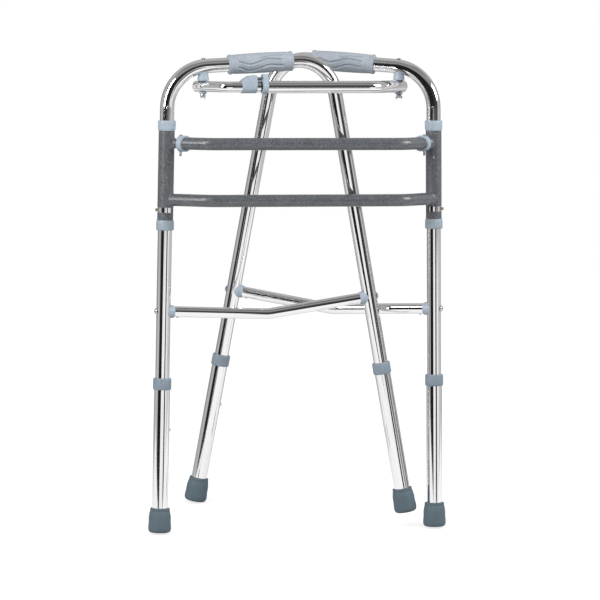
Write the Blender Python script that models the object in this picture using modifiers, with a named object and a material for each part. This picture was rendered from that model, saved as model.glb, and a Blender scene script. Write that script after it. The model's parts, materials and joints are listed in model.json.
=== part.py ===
"""Reciprocal walker: a cross frame that carries two swinging side frames and their telescopic link.

Stored almost folded, the left side frame in front of the right one, standing on the front feet and on the
right frame's rear foot. Metres, +Z up, front of the cross frame towards -Y.

Each side frame is drawn as it stands when open: level ground along local X, height along local Z, and its
front leg leaning. Empties hold the hinges: the front leg turns in its sleeve about the hinge's local Z.
"""

from math import acos, asin, atan2, ceil, cos, degrees, pi, radians, sin, sqrt, tan

import bmesh
import bpy
from mathutils import Matrix, Vector

# Stance of the walker
FOOT_WIDTH = 0.500        # between the front feet, at the floor
SPLAY = radians(0.73)     # each front leg leans inwards going up
FRONT_LEAN = radians(4.1)  # front leg against plumb, in an open side frame
REAR_LEAN = radians(7.05)
FOOT_DEPTH = 0.450        # front foot to rear foot, open
TOP_HEIGHT = 0.812        # middle of the top tube, open
FOLD_LEFT = radians(1)    # side frame against the cross frame's plane
FOLD_RIGHT = radians(30)

# Side frame
LEG_R = 0.0125
LEG_WALL = 0.0012
FRONT_BEND = 0.075
REAR_BEND = 0.067
LEG_END = 0.150           # lower end of the frame tube above the foot
MARK_HOLE_R = 0.0015

GRIP_LENGTH = 0.1155
GRIP_MIDDLE = 0.2240      # from the front foot, level
GRIP_WALL = 0.0046
GRIP_FLARE = 0.0016
GRIP_CROWN = 0.0007
GROOVE_R = 0.0016
GROOVE_SWING = 0.0075

BRACE_HEIGHT = 0.388
BRACE_SAG = 0.0175
BRACE_R = 0.0095
BRACE_WALL = 0.0012
BRACE_BEND = 0.060
SADDLE_R = 0.0108
SADDLE_LENGTH = 0.0065
SPIGOT_LENGTH = 0.014
BRACE_BOLT_R = 0.0028

# Lower legs
LOWER_R = 0.0140
LOWER_WALL = 0.0011
LOWER_FOOT = 0.012        # lower end of the tube in the tip
LOWER_TOP = 0.268
COLLAR_R = 0.0161
COLLAR_TOP = LOWER_TOP + 0.004
COLLAR_LENGTH = 0.0205
TIP_HEIGHT = 0.043
TIP_SOLE_R = 0.0202
TIP_MOUTH_R = 0.0170
BUTTON_HEIGHT = 0.181
BUTTON_R = 0.0031
BUTTON_PROUD = 0.0024
HOLE_PITCH = 0.025
HOLE_COUNT = 5
CLIP_REACH = 0.0098       # leg axis to the outside of the spring clip's leaves
CLIP_THICK = 0.0010
CLIP_HALF = 0.0034
CLIP_LEGS = (0.006, -0.028, -0.038)

# Cross frame
SLEEVE_R = 0.0140
SLEEVE_WALL = 0.0011
SLEEVE_DROP = 0.0930      # middle of the top tube to the sleeve's top
SLEEVE_LENGTH = 0.1837
SLEEVE_TOP = TOP_HEIGHT - SLEEVE_DROP
SLEEVE_FOOT = SLEEVE_TOP - SLEEVE_LENGTH
MARK_HOLE_HEIGHT = SLEEVE_TOP + 0.0270
BUSH_R = 0.0156
BUSH_LENGTH = 0.0176
BUSH_LIP = 0.0040
UPPER_BAR_HEIGHT = SLEEVE_TOP - 0.0355
LOWER_BAR_HEIGHT = SLEEVE_FOOT + 0.0494
BAR_R = 0.0108
BAR_WALL = 0.0012
BAR_BOW = 0.055
BAR_SWEEP = 0.070         # sleeve axis to where the bar runs level with both sleeves
BAR_TURN = atan2(BAR_BOW, BAR_SWEEP)
BAR_BEND = 0.045
UPPER_BAR_SETBACK = 0.0340  # sleeve axis to the bar's end, along the bar
STUB_R = 0.0080
STUB_REACH = 0.0320
BLOCK_R = 0.0140
BLOCK_START = 0.0235
BLOCK_LENGTH = 0.0155
BAR_PIN_R = 0.0021
BAR_PIN_DROP = 0.0080
SLOT_HEIGHT = SLEEVE_FOOT + 0.0312
SLOT_HALF = 0.0045
SLOT_BACK = radians(16)
SLOT_AHEAD = {"left": radians(153), "right": radians(138)}
RIVET_HOLE_R = 0.0018
RIVET_HOLE_HEIGHT = SLEEVE_TOP - 0.0610
RIVET_HOLE_TURN = radians(-103)
PIN_R = 0.0025
PIN_REACH = 0.0176
PIN_ANGLE = radians(165)  # round the leg from the frame's own direction

# Telescopic link
PIVOT_REACH = 0.0635      # front leg axis to the pivot bolt
LINK_HEIGHT = TOP_HEIGHT - 0.0289
LINK_SETFORWARD = 0.0413  # straight run in front of the pivots
INNER_TURN = 0.030        # pivot to the corner of the bent end
OUTER_TURN = 0.060
LINK_TAIL = 0.0095
INNER_BEND = 0.020
OUTER_BEND = 0.045
LINK_TOE = radians(0.69)  # each half against the line between the pivots
INNER_R = 0.0095
OUTER_R = 0.0108
LINK_WALL = 0.0008
INNER_LENGTH = 0.278
RING_AT = 0.0963          # left pivot to the mouth of the outer tube
SWAGE_START = RING_AT - 0.0045  # from here the inner half is flattened
SWAGE_LENGTH = 0.003
SWAGE_HALF = (0.0042, 0.0072)
RING_LENGTH = 0.0065
RING_R = 0.0122
LUG_HEIGHT = 0.0228
LUG_HALF = 0.0075
LATCH_LENGTH = 0.0270
LATCH_SLOPE = 0.0140      # length of the wedge's slope
LATCH_R = 0.0116
LATCH_BACK_HEIGHT = 0.0112
LATCH_FRONT_HEIGHT = 0.0192
PRONG_GAP = 0.0128        # latch to ring
PRONG_HALF = 0.0050
PRONG_THICK = 0.0022
PRONG_HEIGHTS = (0.0112, 0.0162)
SPACER_R = 0.0100
LINK_BOLT_R = 0.0029
WASHER_R = 0.0068
WASHER_HEIGHT = 0.0026
NUT_R = 0.0050
NUT_HEIGHT = 0.0052
HEAD_R = 0.0056
HEAD_HEIGHT = 0.0034
HEAD_REST = 0.0010        # link bolt head above the sloping tube, at its middle
LINK_HEAD_R = 0.0044
LINK_HEAD_HEIGHT = 0.0020

GAP = 0.0003              # between pieces that touch
BOLT_PLAY = 0.0005        # bolt to the wall of its hole
STEPS = 16                # facets round a turned piece
TUBE_RESOLUTION = 2       # 12 facets round a bent tube
ARC_STEP = radians(13)

# Which way each snap button looks, round its leg from the frame's own direction
BUTTON_TURN = {
    "front_left": radians(-14), "rear_right": radians(89),
    "rear_left": radians(-163), "front_right": radians(-60),
}


def clear_scene():
    for old in list(bpy.data.objects):
        bpy.data.objects.remove(old, do_unlink=True)


def make_collection(name, hidden=False):
    made = bpy.data.collections.new(name)
    bpy.context.scene.collection.children.link(made)
    made.hide_render = hidden
    return made


def make_material(name, colour, roughness, metallic=0.0):
    made = bpy.data.materials.new(name)
    made.use_nodes = True
    surface = made.node_tree.nodes["Principled BSDF"]
    surface.inputs["Base Color"].default_value = (*colour, 1.0)
    surface.inputs["Roughness"].default_value = roughness
    surface.inputs["Metallic"].default_value = metallic
    made.diffuse_color = (*colour, 1.0)
    return made


def facet_bore(radius):
    """Circumscribed radius of a faceted bore whose flats stay clear of a round of this radius."""
    return radius / cos(pi / STEPS)


def put(name, data, parent, location=(0, 0, 0), rotation=(0, 0, 0), look=None):
    """Link an object. With a look it is a piece of the walker, without one a cutter."""
    made = bpy.data.objects.new(name, data)
    made.parent = parent
    made.location = location
    made.rotation_euler = rotation
    if look is None:
        CUTTERS.objects.link(made)
        made.display_type = 'WIRE'
        made.hide_render = True
    else:
        PIECES.objects.link(made)
        made.data.materials.append(look)
    return made


def make_empty(name, parent, location=(0, 0, 0), rotation=(0, 0, 0), order='XYZ'):
    made = bpy.data.objects.new(name, None)
    made.empty_display_size = 0.03
    made.parent = parent
    made.rotation_mode = order
    made.location = location
    made.rotation_euler = rotation
    PIECES.objects.link(made)
    return made


def profile_mesh(name, points, closed):
    """A line of (radius, height) points for a Screw modifier."""
    mesh = bpy.data.meshes.new(name)
    edges = [(i, i + 1) for i in range(len(points) - 1)]
    if closed:
        edges.append((len(points) - 1, 0))
    mesh.from_pydata([(r, 0, z) for r, z in points], edges, [])
    return mesh


def turned(name, points, parent, look, closed=True, steps=STEPS, **place):
    """A turned piece: closed profiles make rings, open ones start and end on the axis."""
    made = put(name, profile_mesh(name, points, closed), parent, look=look, **place)
    screw = made.modifiers.new("Turn", 'SCREW')
    screw.axis = 'Z'
    screw.steps = screw.render_steps = steps
    screw.use_merge_vertices = True
    screw.merge_threshold = 0.00001
    screw.use_smooth_shade = False
    return made


def fillet(corners, radii):
    """Round the inner corners of a line with arcs of the given radii."""
    path = [Vector(corners[0])]
    for before, corner, after, radius in zip(corners, corners[1:], corners[2:], radii):
        into = (Vector(corner) - Vector(before)).normalized()
        out = (Vector(after) - Vector(corner)).normalized()
        turn = acos(max(-1.0, min(1.0, into.dot(out))))
        start = Vector(corner) - into * radius * tan(turn / 2)
        side = (out - into * into.dot(out)).normalized()
        count = max(2, ceil(turn / ARC_STEP))
        for i in range(count + 1):
            bend = turn * i / count
            path.append(start + (into * sin(bend) + side * (1 - cos(bend))) * radius)
    path.append(Vector(corners[-1]))
    return path


def swept_mesh(name, path, radius, capped, resolution=TUBE_RESOLUTION):
    """The mesh of a bevelled curve along a path."""
    curve = bpy.data.curves.new(name, 'CURVE')
    curve.dimensions = '3D'
    curve.bevel_depth = radius
    curve.bevel_resolution = resolution
    curve.use_fill_caps = capped
    spline = curve.splines.new('POLY')
    spline.points.add(len(path) - 1)
    for point, place in zip(spline.points, path):
        point.co = (*place, 1)
    shaped = bpy.data.objects.new(name, curve)
    mesh = bpy.data.meshes.new_from_object(shaped)
    bpy.data.objects.remove(shaped)
    bpy.data.curves.remove(curve)
    work = bmesh.new()
    work.from_mesh(mesh)
    bmesh.ops.remove_doubles(work, verts=work.verts, dist=0.000001)
    work.to_mesh(mesh)
    work.free()
    return mesh


def tube(name, path, radius, wall, parent, look, resolution=TUBE_RESOLUTION):
    """A hollow tube, open at both ends."""
    made = put(name, swept_mesh(name, path, radius, False, resolution), parent, look=look)
    shell = made.modifiers.new("Wall", 'SOLIDIFY')
    shell.thickness = wall
    shell.offset = -1
    return made


def cylinder_mesh(name, radius, start, end, segments=STEPS):
    """A capped cylinder between two points."""
    start, end = Vector(start), Vector(end)
    work = bmesh.new()
    bmesh.ops.create_cone(work, cap_ends=True, segments=segments, radius1=radius, radius2=radius,
                          depth=(end - start).length)
    turn = (end - start).to_track_quat('Z', 'Y').to_matrix().to_4x4()
    bmesh.ops.transform(work, verts=work.verts, matrix=Matrix.Translation((start + end) / 2) @ turn)
    mesh = bpy.data.meshes.new(name)
    work.to_mesh(mesh)
    work.free()
    return mesh


def combine(target, cutter, operation='DIFFERENCE'):
    boolean = target.modifiers.new(cutter.name, 'BOOLEAN')
    boolean.operation = operation
    boolean.object = cutter
    boolean.solver = 'EXACT'


def drill(target, label, radius, start, end, parent, segments=12):
    """Cut a round hole between two points of the parent's space."""
    name = f"{target.name}_{label}"
    combine(target, put(name, cylinder_mesh(name, radius, start, end, segments), parent))


def outline_mesh(name, outline, half_thickness):
    """A flat outline in XY, thickened both ways along Z."""
    curve = bpy.data.curves.new(name, 'CURVE')
    curve.dimensions = '2D'
    curve.fill_mode = 'BOTH'
    curve.extrude = half_thickness
    spline = curve.splines.new('POLY')
    spline.points.add(len(outline) - 1)
    for point, (x, y) in zip(spline.points, outline):
        point.co = (x, y, 0, 1)
    spline.use_cyclic_u = True
    shaped = bpy.data.objects.new(name, curve)
    mesh = bpy.data.meshes.new_from_object(shaped)
    bpy.data.objects.remove(shaped)
    bpy.data.curves.remove(curve)
    work = bmesh.new()
    work.from_mesh(mesh)
    bmesh.ops.remove_doubles(work, verts=work.verts, dist=0.000001)
    bmesh.ops.recalc_face_normals(work, faces=work.faces)
    work.to_mesh(mesh)
    work.free()
    return mesh


def bevel(target, width, segments=1, angle=radians(40)):
    edge = target.modifiers.new("Edges", 'BEVEL')
    edge.width = width
    edge.segments = segments
    edge.limit_method = 'ANGLE'
    edge.angle_limit = angle


def round_shade():
    """Smooth every piece, with hard edges kept."""
    for made in PIECES.objects:
        if made.type == 'MESH':
            made.data.shade_smooth()
            made.data.set_sharp_from_angle(angle=radians(35))


def polar(radius, angle, height=0.0):
    return Vector((radius * cos(angle), radius * sin(angle), height))


# Lines of the open side frame, as (along the ground, height)
def front_leg(height):
    return Vector((height * tan(FRONT_LEAN), 0, height))


def rear_leg(height):
    return Vector((FOOT_DEPTH - height * tan(REAR_LEAN), 0, height))


def to_hinge(point):
    """From the open frame's space to its hinge's."""
    return Matrix.Rotation(-FRONT_LEAN, 3, 'Y') @ Vector(point)


def hinge_matrix(side):
    """Cross-frame space from hinge space."""
    if side == "left":
        turn = Matrix.Rotation(SPLAY, 3, 'Y') @ Matrix.Rotation(FOLD_LEFT, 3, 'Z')
        return Matrix.Translation((-FOOT_WIDTH / 2, 0, 0)) @ turn.to_4x4()
    turn = Matrix.Rotation(-SPLAY, 3, 'Y') @ Matrix.Rotation(pi - FOLD_RIGHT, 3, 'Z')
    return Matrix.Translation((FOOT_WIDTH / 2, 0, 0)) @ turn.to_4x4()


def sole_low(tilt, side, foot, lean):
    """Height of the lowest point of a tip's sole when the walker leans back by tilt."""
    lean_back = Matrix.Rotation(-tilt, 3, 'X')
    hinge = hinge_matrix(side)
    foot_turn = Matrix.Rotation(-FRONT_LEAN, 3, 'Y') @ Matrix.Rotation(lean, 3, 'Y')
    axis = lean_back @ hinge.to_3x3() @ foot_turn @ Vector((0, 0, 1))
    middle = lean_back @ (hinge @ to_hinge(foot))
    return middle.z - TIP_SOLE_R * sqrt(1 - axis.z ** 2)


def stand_tilt():
    """The lean that sets the front feet and the right frame's rear foot on the floor."""
    low, high = 0.0, radians(20)
    for _ in range(40):
        tilt = (low + high) / 2
        front = sole_low(tilt, "right", front_leg(0), FRONT_LEAN)
        rear = sole_low(tilt, "right", rear_leg(0), -REAR_LEAN)
        if rear > front:
            low = tilt
        else:
            high = tilt
    return tilt


def bar_path(setback, height):
    """Symmetric line of a cross bar: forwards out of each sleeve, then straight across."""
    sleeve_x = FOOT_WIDTH / 2 - height * tan(SPLAY)
    end = Vector((sleeve_x, 0, height)) - bar_heading(1) * setback
    corner = Vector((sleeve_x - BAR_SWEEP, -BAR_BOW, height))
    flip = Vector((-1, 1, 1))
    return fillet([end * flip, corner * flip, corner, end], [BAR_BEND] * 2)


def bar_heading(sign):
    """Level direction from the middle of a bar's bend to its sleeve: sign +1 for the one at +X."""
    return Vector((sign * cos(BAR_TURN), sin(BAR_TURN), 0))


def make_sleeve(side, base):
    """Painted sleeve with the stub for the upper bar, limiter slot and rivet hole."""
    sign = 1 if side == "left" else -1
    splayed = make_empty(f"{side}_sleeve_axis", base, (-sign * FOOT_WIDTH / 2, 0, 0), (0, sign * SPLAY, 0))
    foot, top = (0, 0, SLEEVE_FOOT), (0, 0, SLEEVE_TOP)
    sleeve = put(f"{side}_sleeve", cylinder_mesh("sleeve", SLEEVE_R, foot, top, 24), splayed, look=PAINT)

    stub_height = UPPER_BAR_HEIGHT / cos(SPLAY)
    stub_end = Vector((0, 0, stub_height)) - bar_heading(-sign) * STUB_REACH
    stub = put(f"{side}_stub", cylinder_mesh("stub", STUB_R, (0, 0, stub_height), stub_end, 12), splayed)
    combine(sleeve, stub, 'UNION')
    drill(sleeve, "bore", SLEEVE_R - SLEEVE_WALL, (0, 0, 0), (0, 0, 1), splayed, 24)

    pin = hinge_turn(side, PIN_ANGLE)
    back, ahead = pin - sign * SLOT_BACK, pin + sign * SLOT_AHEAD[side]
    arc = [back + (ahead - back) * i / 12 for i in range(13)]
    pie = [(0.0, 0.0)] + [(2 * SLEEVE_R * cos(a), 2 * SLEEVE_R * sin(a)) for a in arc]
    slot = put(f"{side}_slot", outline_mesh("slot", pie, SLOT_HALF), splayed, (0, 0, SLOT_HEIGHT))
    combine(sleeve, slot)
    drill(sleeve, "rivet_hole", RIVET_HOLE_R, (0, 0, RIVET_HOLE_HEIGHT),
          polar(2 * SLEEVE_R, RIVET_HOLE_TURN, RIVET_HOLE_HEIGHT), splayed, 8)
    pin_at = Vector((0, 0, stub_height)) - bar_heading(-sign) * pin_reach()
    up = Vector((0, 0, 2 * BLOCK_R))
    drill(sleeve, "pin_hole", BAR_PIN_R + BOLT_PLAY, pin_at - up, pin_at + up, splayed, 8)
    return splayed


def hinge_turn(side, angle):
    """Angle round the sleeve of a place given round the side frame's leg, mirrored on the right."""
    if side == "left":
        return FOLD_LEFT + angle
    return pi - FOLD_RIGHT - angle


def pin_reach():
    """Sleeve axis to the pin that holds the upper bar's block."""
    return (BLOCK_START + STUB_REACH) / 2


def make_bush(side, place, axis, end, inward):
    """Plastic cap over the sleeve's end: inward is +1 for the lower one, -1 for the upper one."""
    lip = end - inward * BUSH_LIP
    mouth = end + inward * (BUSH_LENGTH - BUSH_LIP)
    leg, sleeve = facet_bore(LEG_R + GAP), facet_bore(SLEEVE_R + GAP)
    soft = 0.0012
    points = [(BUSH_R - soft, lip), (BUSH_R, lip + inward * soft * 1.5), (BUSH_R, mouth),
              (sleeve, mouth), (sleeve, end - inward * GAP), (leg, end - inward * GAP), (leg, lip)]
    if inward > 0:
        points.reverse()
    turned(f"{side}_{place}_bush", points, axis, BLUE_GREY)


def make_bar_block(side, axis):
    """Plastic block that joins the stub to the end of the upper bar."""
    sign = 1 if side == "left" else -1
    height = UPPER_BAR_HEIGHT / cos(SPLAY)
    start, end = BLOCK_START, BLOCK_START + BLOCK_LENGTH
    shoulder = (STUB_REACH + UPPER_BAR_SETBACK) / 2
    bar, stub = facet_bore(BAR_R + 2 * GAP), facet_bore(STUB_R + GAP)
    soft = 0.003
    points = [(bar, end), (BLOCK_R - soft, end), (BLOCK_R, end - soft), (BLOCK_R, start + soft),
              (BLOCK_R - soft, start), (stub, start), (stub, shoulder), (bar, shoulder)]
    block = turned(f"{side}_bar_block", points, axis, BLUE_GREY, location=(0, 0, height),
                   rotation=(0, sign * pi / 2, -sign * BAR_TURN))
    pin_at = Vector((0, 0, height)) - bar_heading(-sign) * pin_reach()
    up = Vector((0, 0, 2 * BLOCK_R))
    drill(block, "pin_hole", BAR_PIN_R + BOLT_PLAY, pin_at - up, pin_at + up, axis, 8)
    drop = BLOCK_R + BAR_PIN_DROP
    pin_points = [(0, BLOCK_R + 0.0016), (0.003, BLOCK_R + 0.0016), (0.0034, BLOCK_R + GAP),
                  (BAR_PIN_R, BLOCK_R + GAP), (BAR_PIN_R, -drop + 0.001), (BAR_PIN_R - 0.0008, -drop), (0, -drop)]
    turned(f"{side}_bar_pin", pin_points, axis, STEEL, closed=False, steps=10,
           location=pin_at)


def make_cross_frame(base):
    """The fixed body: sleeves, bushes and both cross bars."""
    for side in ("left", "right"):
        axis = make_sleeve(side, base)
        make_bush(side, "upper", axis, SLEEVE_TOP, -1)
        make_bush(side, "lower", axis, SLEEVE_FOOT, 1)
        make_bar_block(side, axis)
    tube("upper_crossbar", bar_path(UPPER_BAR_SETBACK, UPPER_BAR_HEIGHT), BAR_R, BAR_WALL, base, PAINT)
    lower = tube("lower_crossbar", bar_path(SLEEVE_R / 2, LOWER_BAR_HEIGHT), BAR_R, BAR_WALL, base, PAINT)
    for side, sign in (("left", 1), ("right", -1)):
        foot = Vector((-sign * FOOT_WIDTH / 2, 0, 0))
        top = foot + Vector((sign * sin(SPLAY), 0, cos(SPLAY)))
        drill(lower, f"{side}_cope", facet_bore(SLEEVE_R + GAP), foot, top, base, STEPS)


def frame_path():
    """Line of the inverted U: up the front leg, along the top and down the rear leg."""
    corners = [front_leg(LEG_END), front_leg(TOP_HEIGHT), rear_leg(TOP_HEIGHT), rear_leg(LEG_END)]
    return fillet(corners, [FRONT_BEND, REAR_BEND])


def grip_path_point(along, angle, radius):
    """A point on the grip: along its length, round it from the top, at a radius."""
    return Vector((GRIP_MIDDLE + along, radius * sin(angle), TOP_HEIGHT + radius * cos(angle)))


def grip_radius(along):
    """Outer radius of the grip: slightly crowned, flared at both ends."""
    share = abs(2 * along / GRIP_LENGTH)
    body = LEG_R + GRIP_WALL + GRIP_CROWN * (1 - share ** 2)
    return body + GRIP_FLARE * max(0.0, (share - 0.86) / 0.14) ** 2


def make_grip(side, frame):
    """Moulded hand grip with waved grooves along both of its sides."""
    count = 10
    stations = [GRIP_LENGTH * (0.5 - i / count) for i in range(count + 1)]
    inner = facet_bore(LEG_R + GAP)
    soft = 0.0010
    outer = [(grip_radius(s), s) for s in stations]
    outer[0] = (outer[0][0] - soft, stations[0])
    outer[-1] = (outer[-1][0] - soft, stations[-1])
    points = [(inner, stations[0])] + outer + [(inner, stations[-1])]
    grip = turned(f"{side}_grip", points, frame, GRIP_GREY, steps=20,
                  location=(GRIP_MIDDLE, 0, TOP_HEIGHT), rotation=(0, pi / 2, 0))
    for face in (1, -1):
        for row, (middle, reach) in enumerate(((radians(64), 0.36), (radians(100), 0.40))):
            path = []
            for i in range(13):
                share = i / 12
                along = GRIP_LENGTH * reach * (2 * share - 1)
                wave = GROOVE_SWING * sin(2 * pi * share) / grip_radius(along)
                sink = GROOVE_R * (0.25 - 1.3 * (abs(2 * share - 1) > 0.99))
                path.append(grip_path_point(along, face * (middle + wave), grip_radius(along) - sink))
            name = f"{side}_groove_{row}_{'back' if face > 0 else 'front'}"
            combine(grip, put(name, swept_mesh(name, path, GROOVE_R, capped=True, resolution=1), frame))


def make_brace(side, frame, leg_tube):
    """Kinked lower brace, with the plastic saddles and bolts that hold it to both legs."""
    front, rear = front_leg(BRACE_HEIGHT), rear_leg(BRACE_HEIGHT)
    middle = (front + rear) / 2 - Vector((0, 0, BRACE_SAG))
    ends = {}
    for place, leg, lean in (("front", front, FRONT_LEAN), ("rear", rear, -REAR_LEAN)):
        along = (middle - leg).normalized()
        away = LEG_R + GAP
        seat = leg + along * (away + SADDLE_LENGTH)
        ends[place] = seat + along * GAP
        turn = along.to_track_quat('Z', 'Y').to_euler()
        spigot_r = (BRACE_R - BRACE_WALL - GAP) * cos(pi / 12) - 0.0001
        bore = BRACE_BOLT_R + BOLT_PLAY
        rim = 0.0012
        points = [(bore, away + SADDLE_LENGTH + SPIGOT_LENGTH), (spigot_r, away + SADDLE_LENGTH + SPIGOT_LENGTH),
                  (spigot_r, away + SADDLE_LENGTH), (SADDLE_R - rim, away + SADDLE_LENGTH),
                  (SADDLE_R, away + SADDLE_LENGTH - rim), (SADDLE_R, 0.002), (bore, 0.002)]
        saddle = turned(f"{side}_{place}_saddle", points, frame, BLUE_GREY, location=leg, rotation=turn)
        axis = Vector((sin(lean), 0, cos(lean))) * 0.05
        drill(saddle, "seat", facet_bore(LEG_R + GAP), leg - axis, leg + axis, frame, STEPS)
        drill(leg_tube, f"{place}_brace_hole", bore, leg - along * 0.03, leg + along * 0.03, frame, 8)
        head = -(LEG_R + GAP)
        tip = away + SADDLE_LENGTH + SPIGOT_LENGTH - 0.002
        points = [(0, tip), (BRACE_BOLT_R, tip), (BRACE_BOLT_R, head), (HEAD_R, head),
                  (HEAD_R * 0.8, head - HEAD_HEIGHT * 0.7), (0, head - HEAD_HEIGHT)]
        turned(f"{side}_{place}_brace_bolt", points, frame, STEEL, closed=False, steps=12,
               location=leg, rotation=turn)
    tube(f"{side}_brace", fillet([ends["front"], middle, ends["rear"]], [BRACE_BEND]), BRACE_R, BRACE_WALL,
         frame, CHROME)


def make_link_mount(side, hinge, frame, leg_tube, link_r):
    """Spacer under the top tube and the pivot bolt that goes down through both."""
    pivot = Vector((PIVOT_REACH, 0, LINK_HEIGHT))
    top = frame_height_at(PIVOT_REACH)
    drill(leg_tube, "link_bolt_hole", LINK_BOLT_R + BOLT_PLAY, (PIVOT_REACH, 0, LINK_HEIGHT),
          (PIVOT_REACH, 0, top + 0.04), hinge, 8)
    low = link_r + GAP
    bore = LINK_BOLT_R + BOLT_PLAY
    high = top - LINK_HEIGHT
    points = [(bore, high), (SPACER_R - 0.001, high), (SPACER_R - 0.001, low + 0.007),
              (SPACER_R, low + 0.006), (SPACER_R, low), (bore, low)]
    spacer = turned(f"{side}_link_spacer", points, hinge, BLUE_GREY, location=pivot)
    cradle = swept_mesh("cradle", frame_path()[3:14], (LEG_R + GAP) / cos(pi / 12), capped=True)
    combine(spacer, put(f"{side}_cradle", cradle, frame))

    seat = top + LEG_R + HEAD_REST - LINK_HEIGHT
    end = -(link_r + WASHER_HEIGHT + NUT_HEIGHT * 0.7)
    points = [(0, seat + LINK_HEAD_HEIGHT), (LINK_HEAD_R * 0.8, seat + LINK_HEAD_HEIGHT * 0.7),
              (LINK_HEAD_R, seat + 0.0006), (LINK_HEAD_R, seat), (LINK_BOLT_R, seat), (LINK_BOLT_R, end), (0, end)]
    turned(f"{side}_link_bolt", points, hinge, STEEL, closed=False, steps=12, location=pivot)


    low = -(link_r + GAP)
    points = [(bore, low), (WASHER_R, low), (WASHER_R, low - WASHER_HEIGHT), (bore, low - WASHER_HEIGHT)]
    turned(f"{side}_link_washer", points, hinge, BLUE_GREY, steps=12, location=pivot)
    top = low - WASHER_HEIGHT - GAP
    points = [(0, end - GAP), (bore, end - GAP), (bore, top), (NUT_R, top), (NUT_R, top - NUT_HEIGHT * 0.45),
              (NUT_R * 0.78, top - NUT_HEIGHT * 0.5), (NUT_R * 0.6, top - NUT_HEIGHT), (0, top - NUT_HEIGHT * 1.1)]
    turned(f"{side}_link_nut", points, hinge, STEEL, steps=12, closed=False, location=pivot)


def frame_height_at(reach):
    """Height of the frame tube's middle at a distance from the hinge, in hinge space."""
    line = [to_hinge(p) for p in frame_path()]
    for a, b in zip(line, line[1:]):
        if a.x <= reach <= b.x:
            return a.z + (b.z - a.z) * (reach - a.x) / (b.x - a.x)
    raise ValueError("the pivot lies off the top tube")


def make_lower_leg(corner, leg, leg_tube):
    """Telescopic lower leg: tube with its row of holes, collar, rubber tip and the snap button."""
    look = BUTTON_TURN[corner]
    bore = LOWER_R - LOWER_WALL
    points = [(LOWER_R, LOWER_TOP), (LOWER_R, LOWER_FOOT), (bore, LOWER_FOOT), (bore, LOWER_TOP)]
    lower = turned(f"{corner}_lower_tube", points, leg, CHROME, steps=24)
    for i in range(HOLE_COUNT):
        height = BUTTON_HEIGHT - i * HOLE_PITCH
        drill(lower, f"hole_{i}", BUTTON_R + GAP, polar(0, look, height), polar(2 * LOWER_R, look, height), leg, 8)
    drill(leg_tube, f"{corner}_button_hole", BUTTON_R + GAP, polar(0, look, BUTTON_HEIGHT),
          polar(2 * LOWER_R, look, BUTTON_HEIGHT), leg, 8)

    foot = COLLAR_TOP - COLLAR_LENGTH
    inner, lip = facet_bore(LOWER_R + GAP), facet_bore(LEG_R + GAP)
    soft = 0.0018
    points = [(lip, COLLAR_TOP), (COLLAR_R - soft, COLLAR_TOP), (COLLAR_R, COLLAR_TOP - soft),
              (COLLAR_R, foot + soft), (COLLAR_R - 0.7 * soft, foot), (inner, foot),
              (inner, LOWER_TOP + GAP), (lip, LOWER_TOP + GAP)]
    turned(f"{corner}_collar", points, leg, BLUE_GREY)

    waist = (TIP_MOUTH_R + TIP_SOLE_R) / 2 + 0.0007
    floor = LOWER_FOOT - GAP
    points = [(facet_bore(LOWER_R + GAP), TIP_HEIGHT), (TIP_MOUTH_R - 0.0006, TIP_HEIGHT),
              (TIP_MOUTH_R, TIP_HEIGHT - 0.001), (waist, TIP_HEIGHT * 0.62), (TIP_SOLE_R, TIP_HEIGHT * 0.28),
              (TIP_SOLE_R, 0.0035), (TIP_SOLE_R - 0.0024, 0.0), (0.013, 0.0), (0.011, 0.0028),
              (0.0, 0.0028)]
    cup = [(0.0, floor), (facet_bore(LOWER_R + GAP), floor)]
    turned(f"{corner}_tip", cup + points, leg, RUBBER, closed=False)

    make_snap_button(corner, leg, look)


def make_snap_button(corner, leg, look):
    """Button and its V-shaped spring clip, one piece inside the frame tube."""
    push = make_empty(f"{corner}_button", leg, (0, 0, BUTTON_HEIGHT), (0, 0, look))
    top, knee, foot = CLIP_LEGS
    far, near = CLIP_REACH, CLIP_REACH - CLIP_THICK
    bend = 0.6 * CLIP_REACH
    clip_line = [(far, top), (near, top), (near, knee), (bend - CLIP_THICK, foot + CLIP_THICK),
                 (CLIP_THICK - bend, foot + CLIP_THICK), (-near, knee), (-near, 0), (-far, 0), (-far, knee),
                 (-bend, foot), (bend, foot), (far, knee)]
    clip = put(f"{corner}_snap_button", outline_mesh("clip", clip_line, CLIP_HALF), push,
               rotation=(pi / 2, 0, 0), look=STEEL)
    out, soft = LOWER_R + BUTTON_PROUD, 0.0008
    points = [(0, out), (BUTTON_R - 1.5 * soft, out), (BUTTON_R, out - 1.5 * soft), (BUTTON_R, near + soft / 2),
              (0, near + soft / 2)]
    head = put(f"{corner}_button_head", profile_mesh("head", points, False), push, rotation=(0, pi / 2, 0))
    screw = head.modifiers.new("Turn", 'SCREW')
    screw.axis = 'Z'
    screw.steps = screw.render_steps = 10
    screw.use_merge_vertices = True
    screw.merge_threshold = 0.00001
    combine(clip, head, 'UNION')


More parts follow.
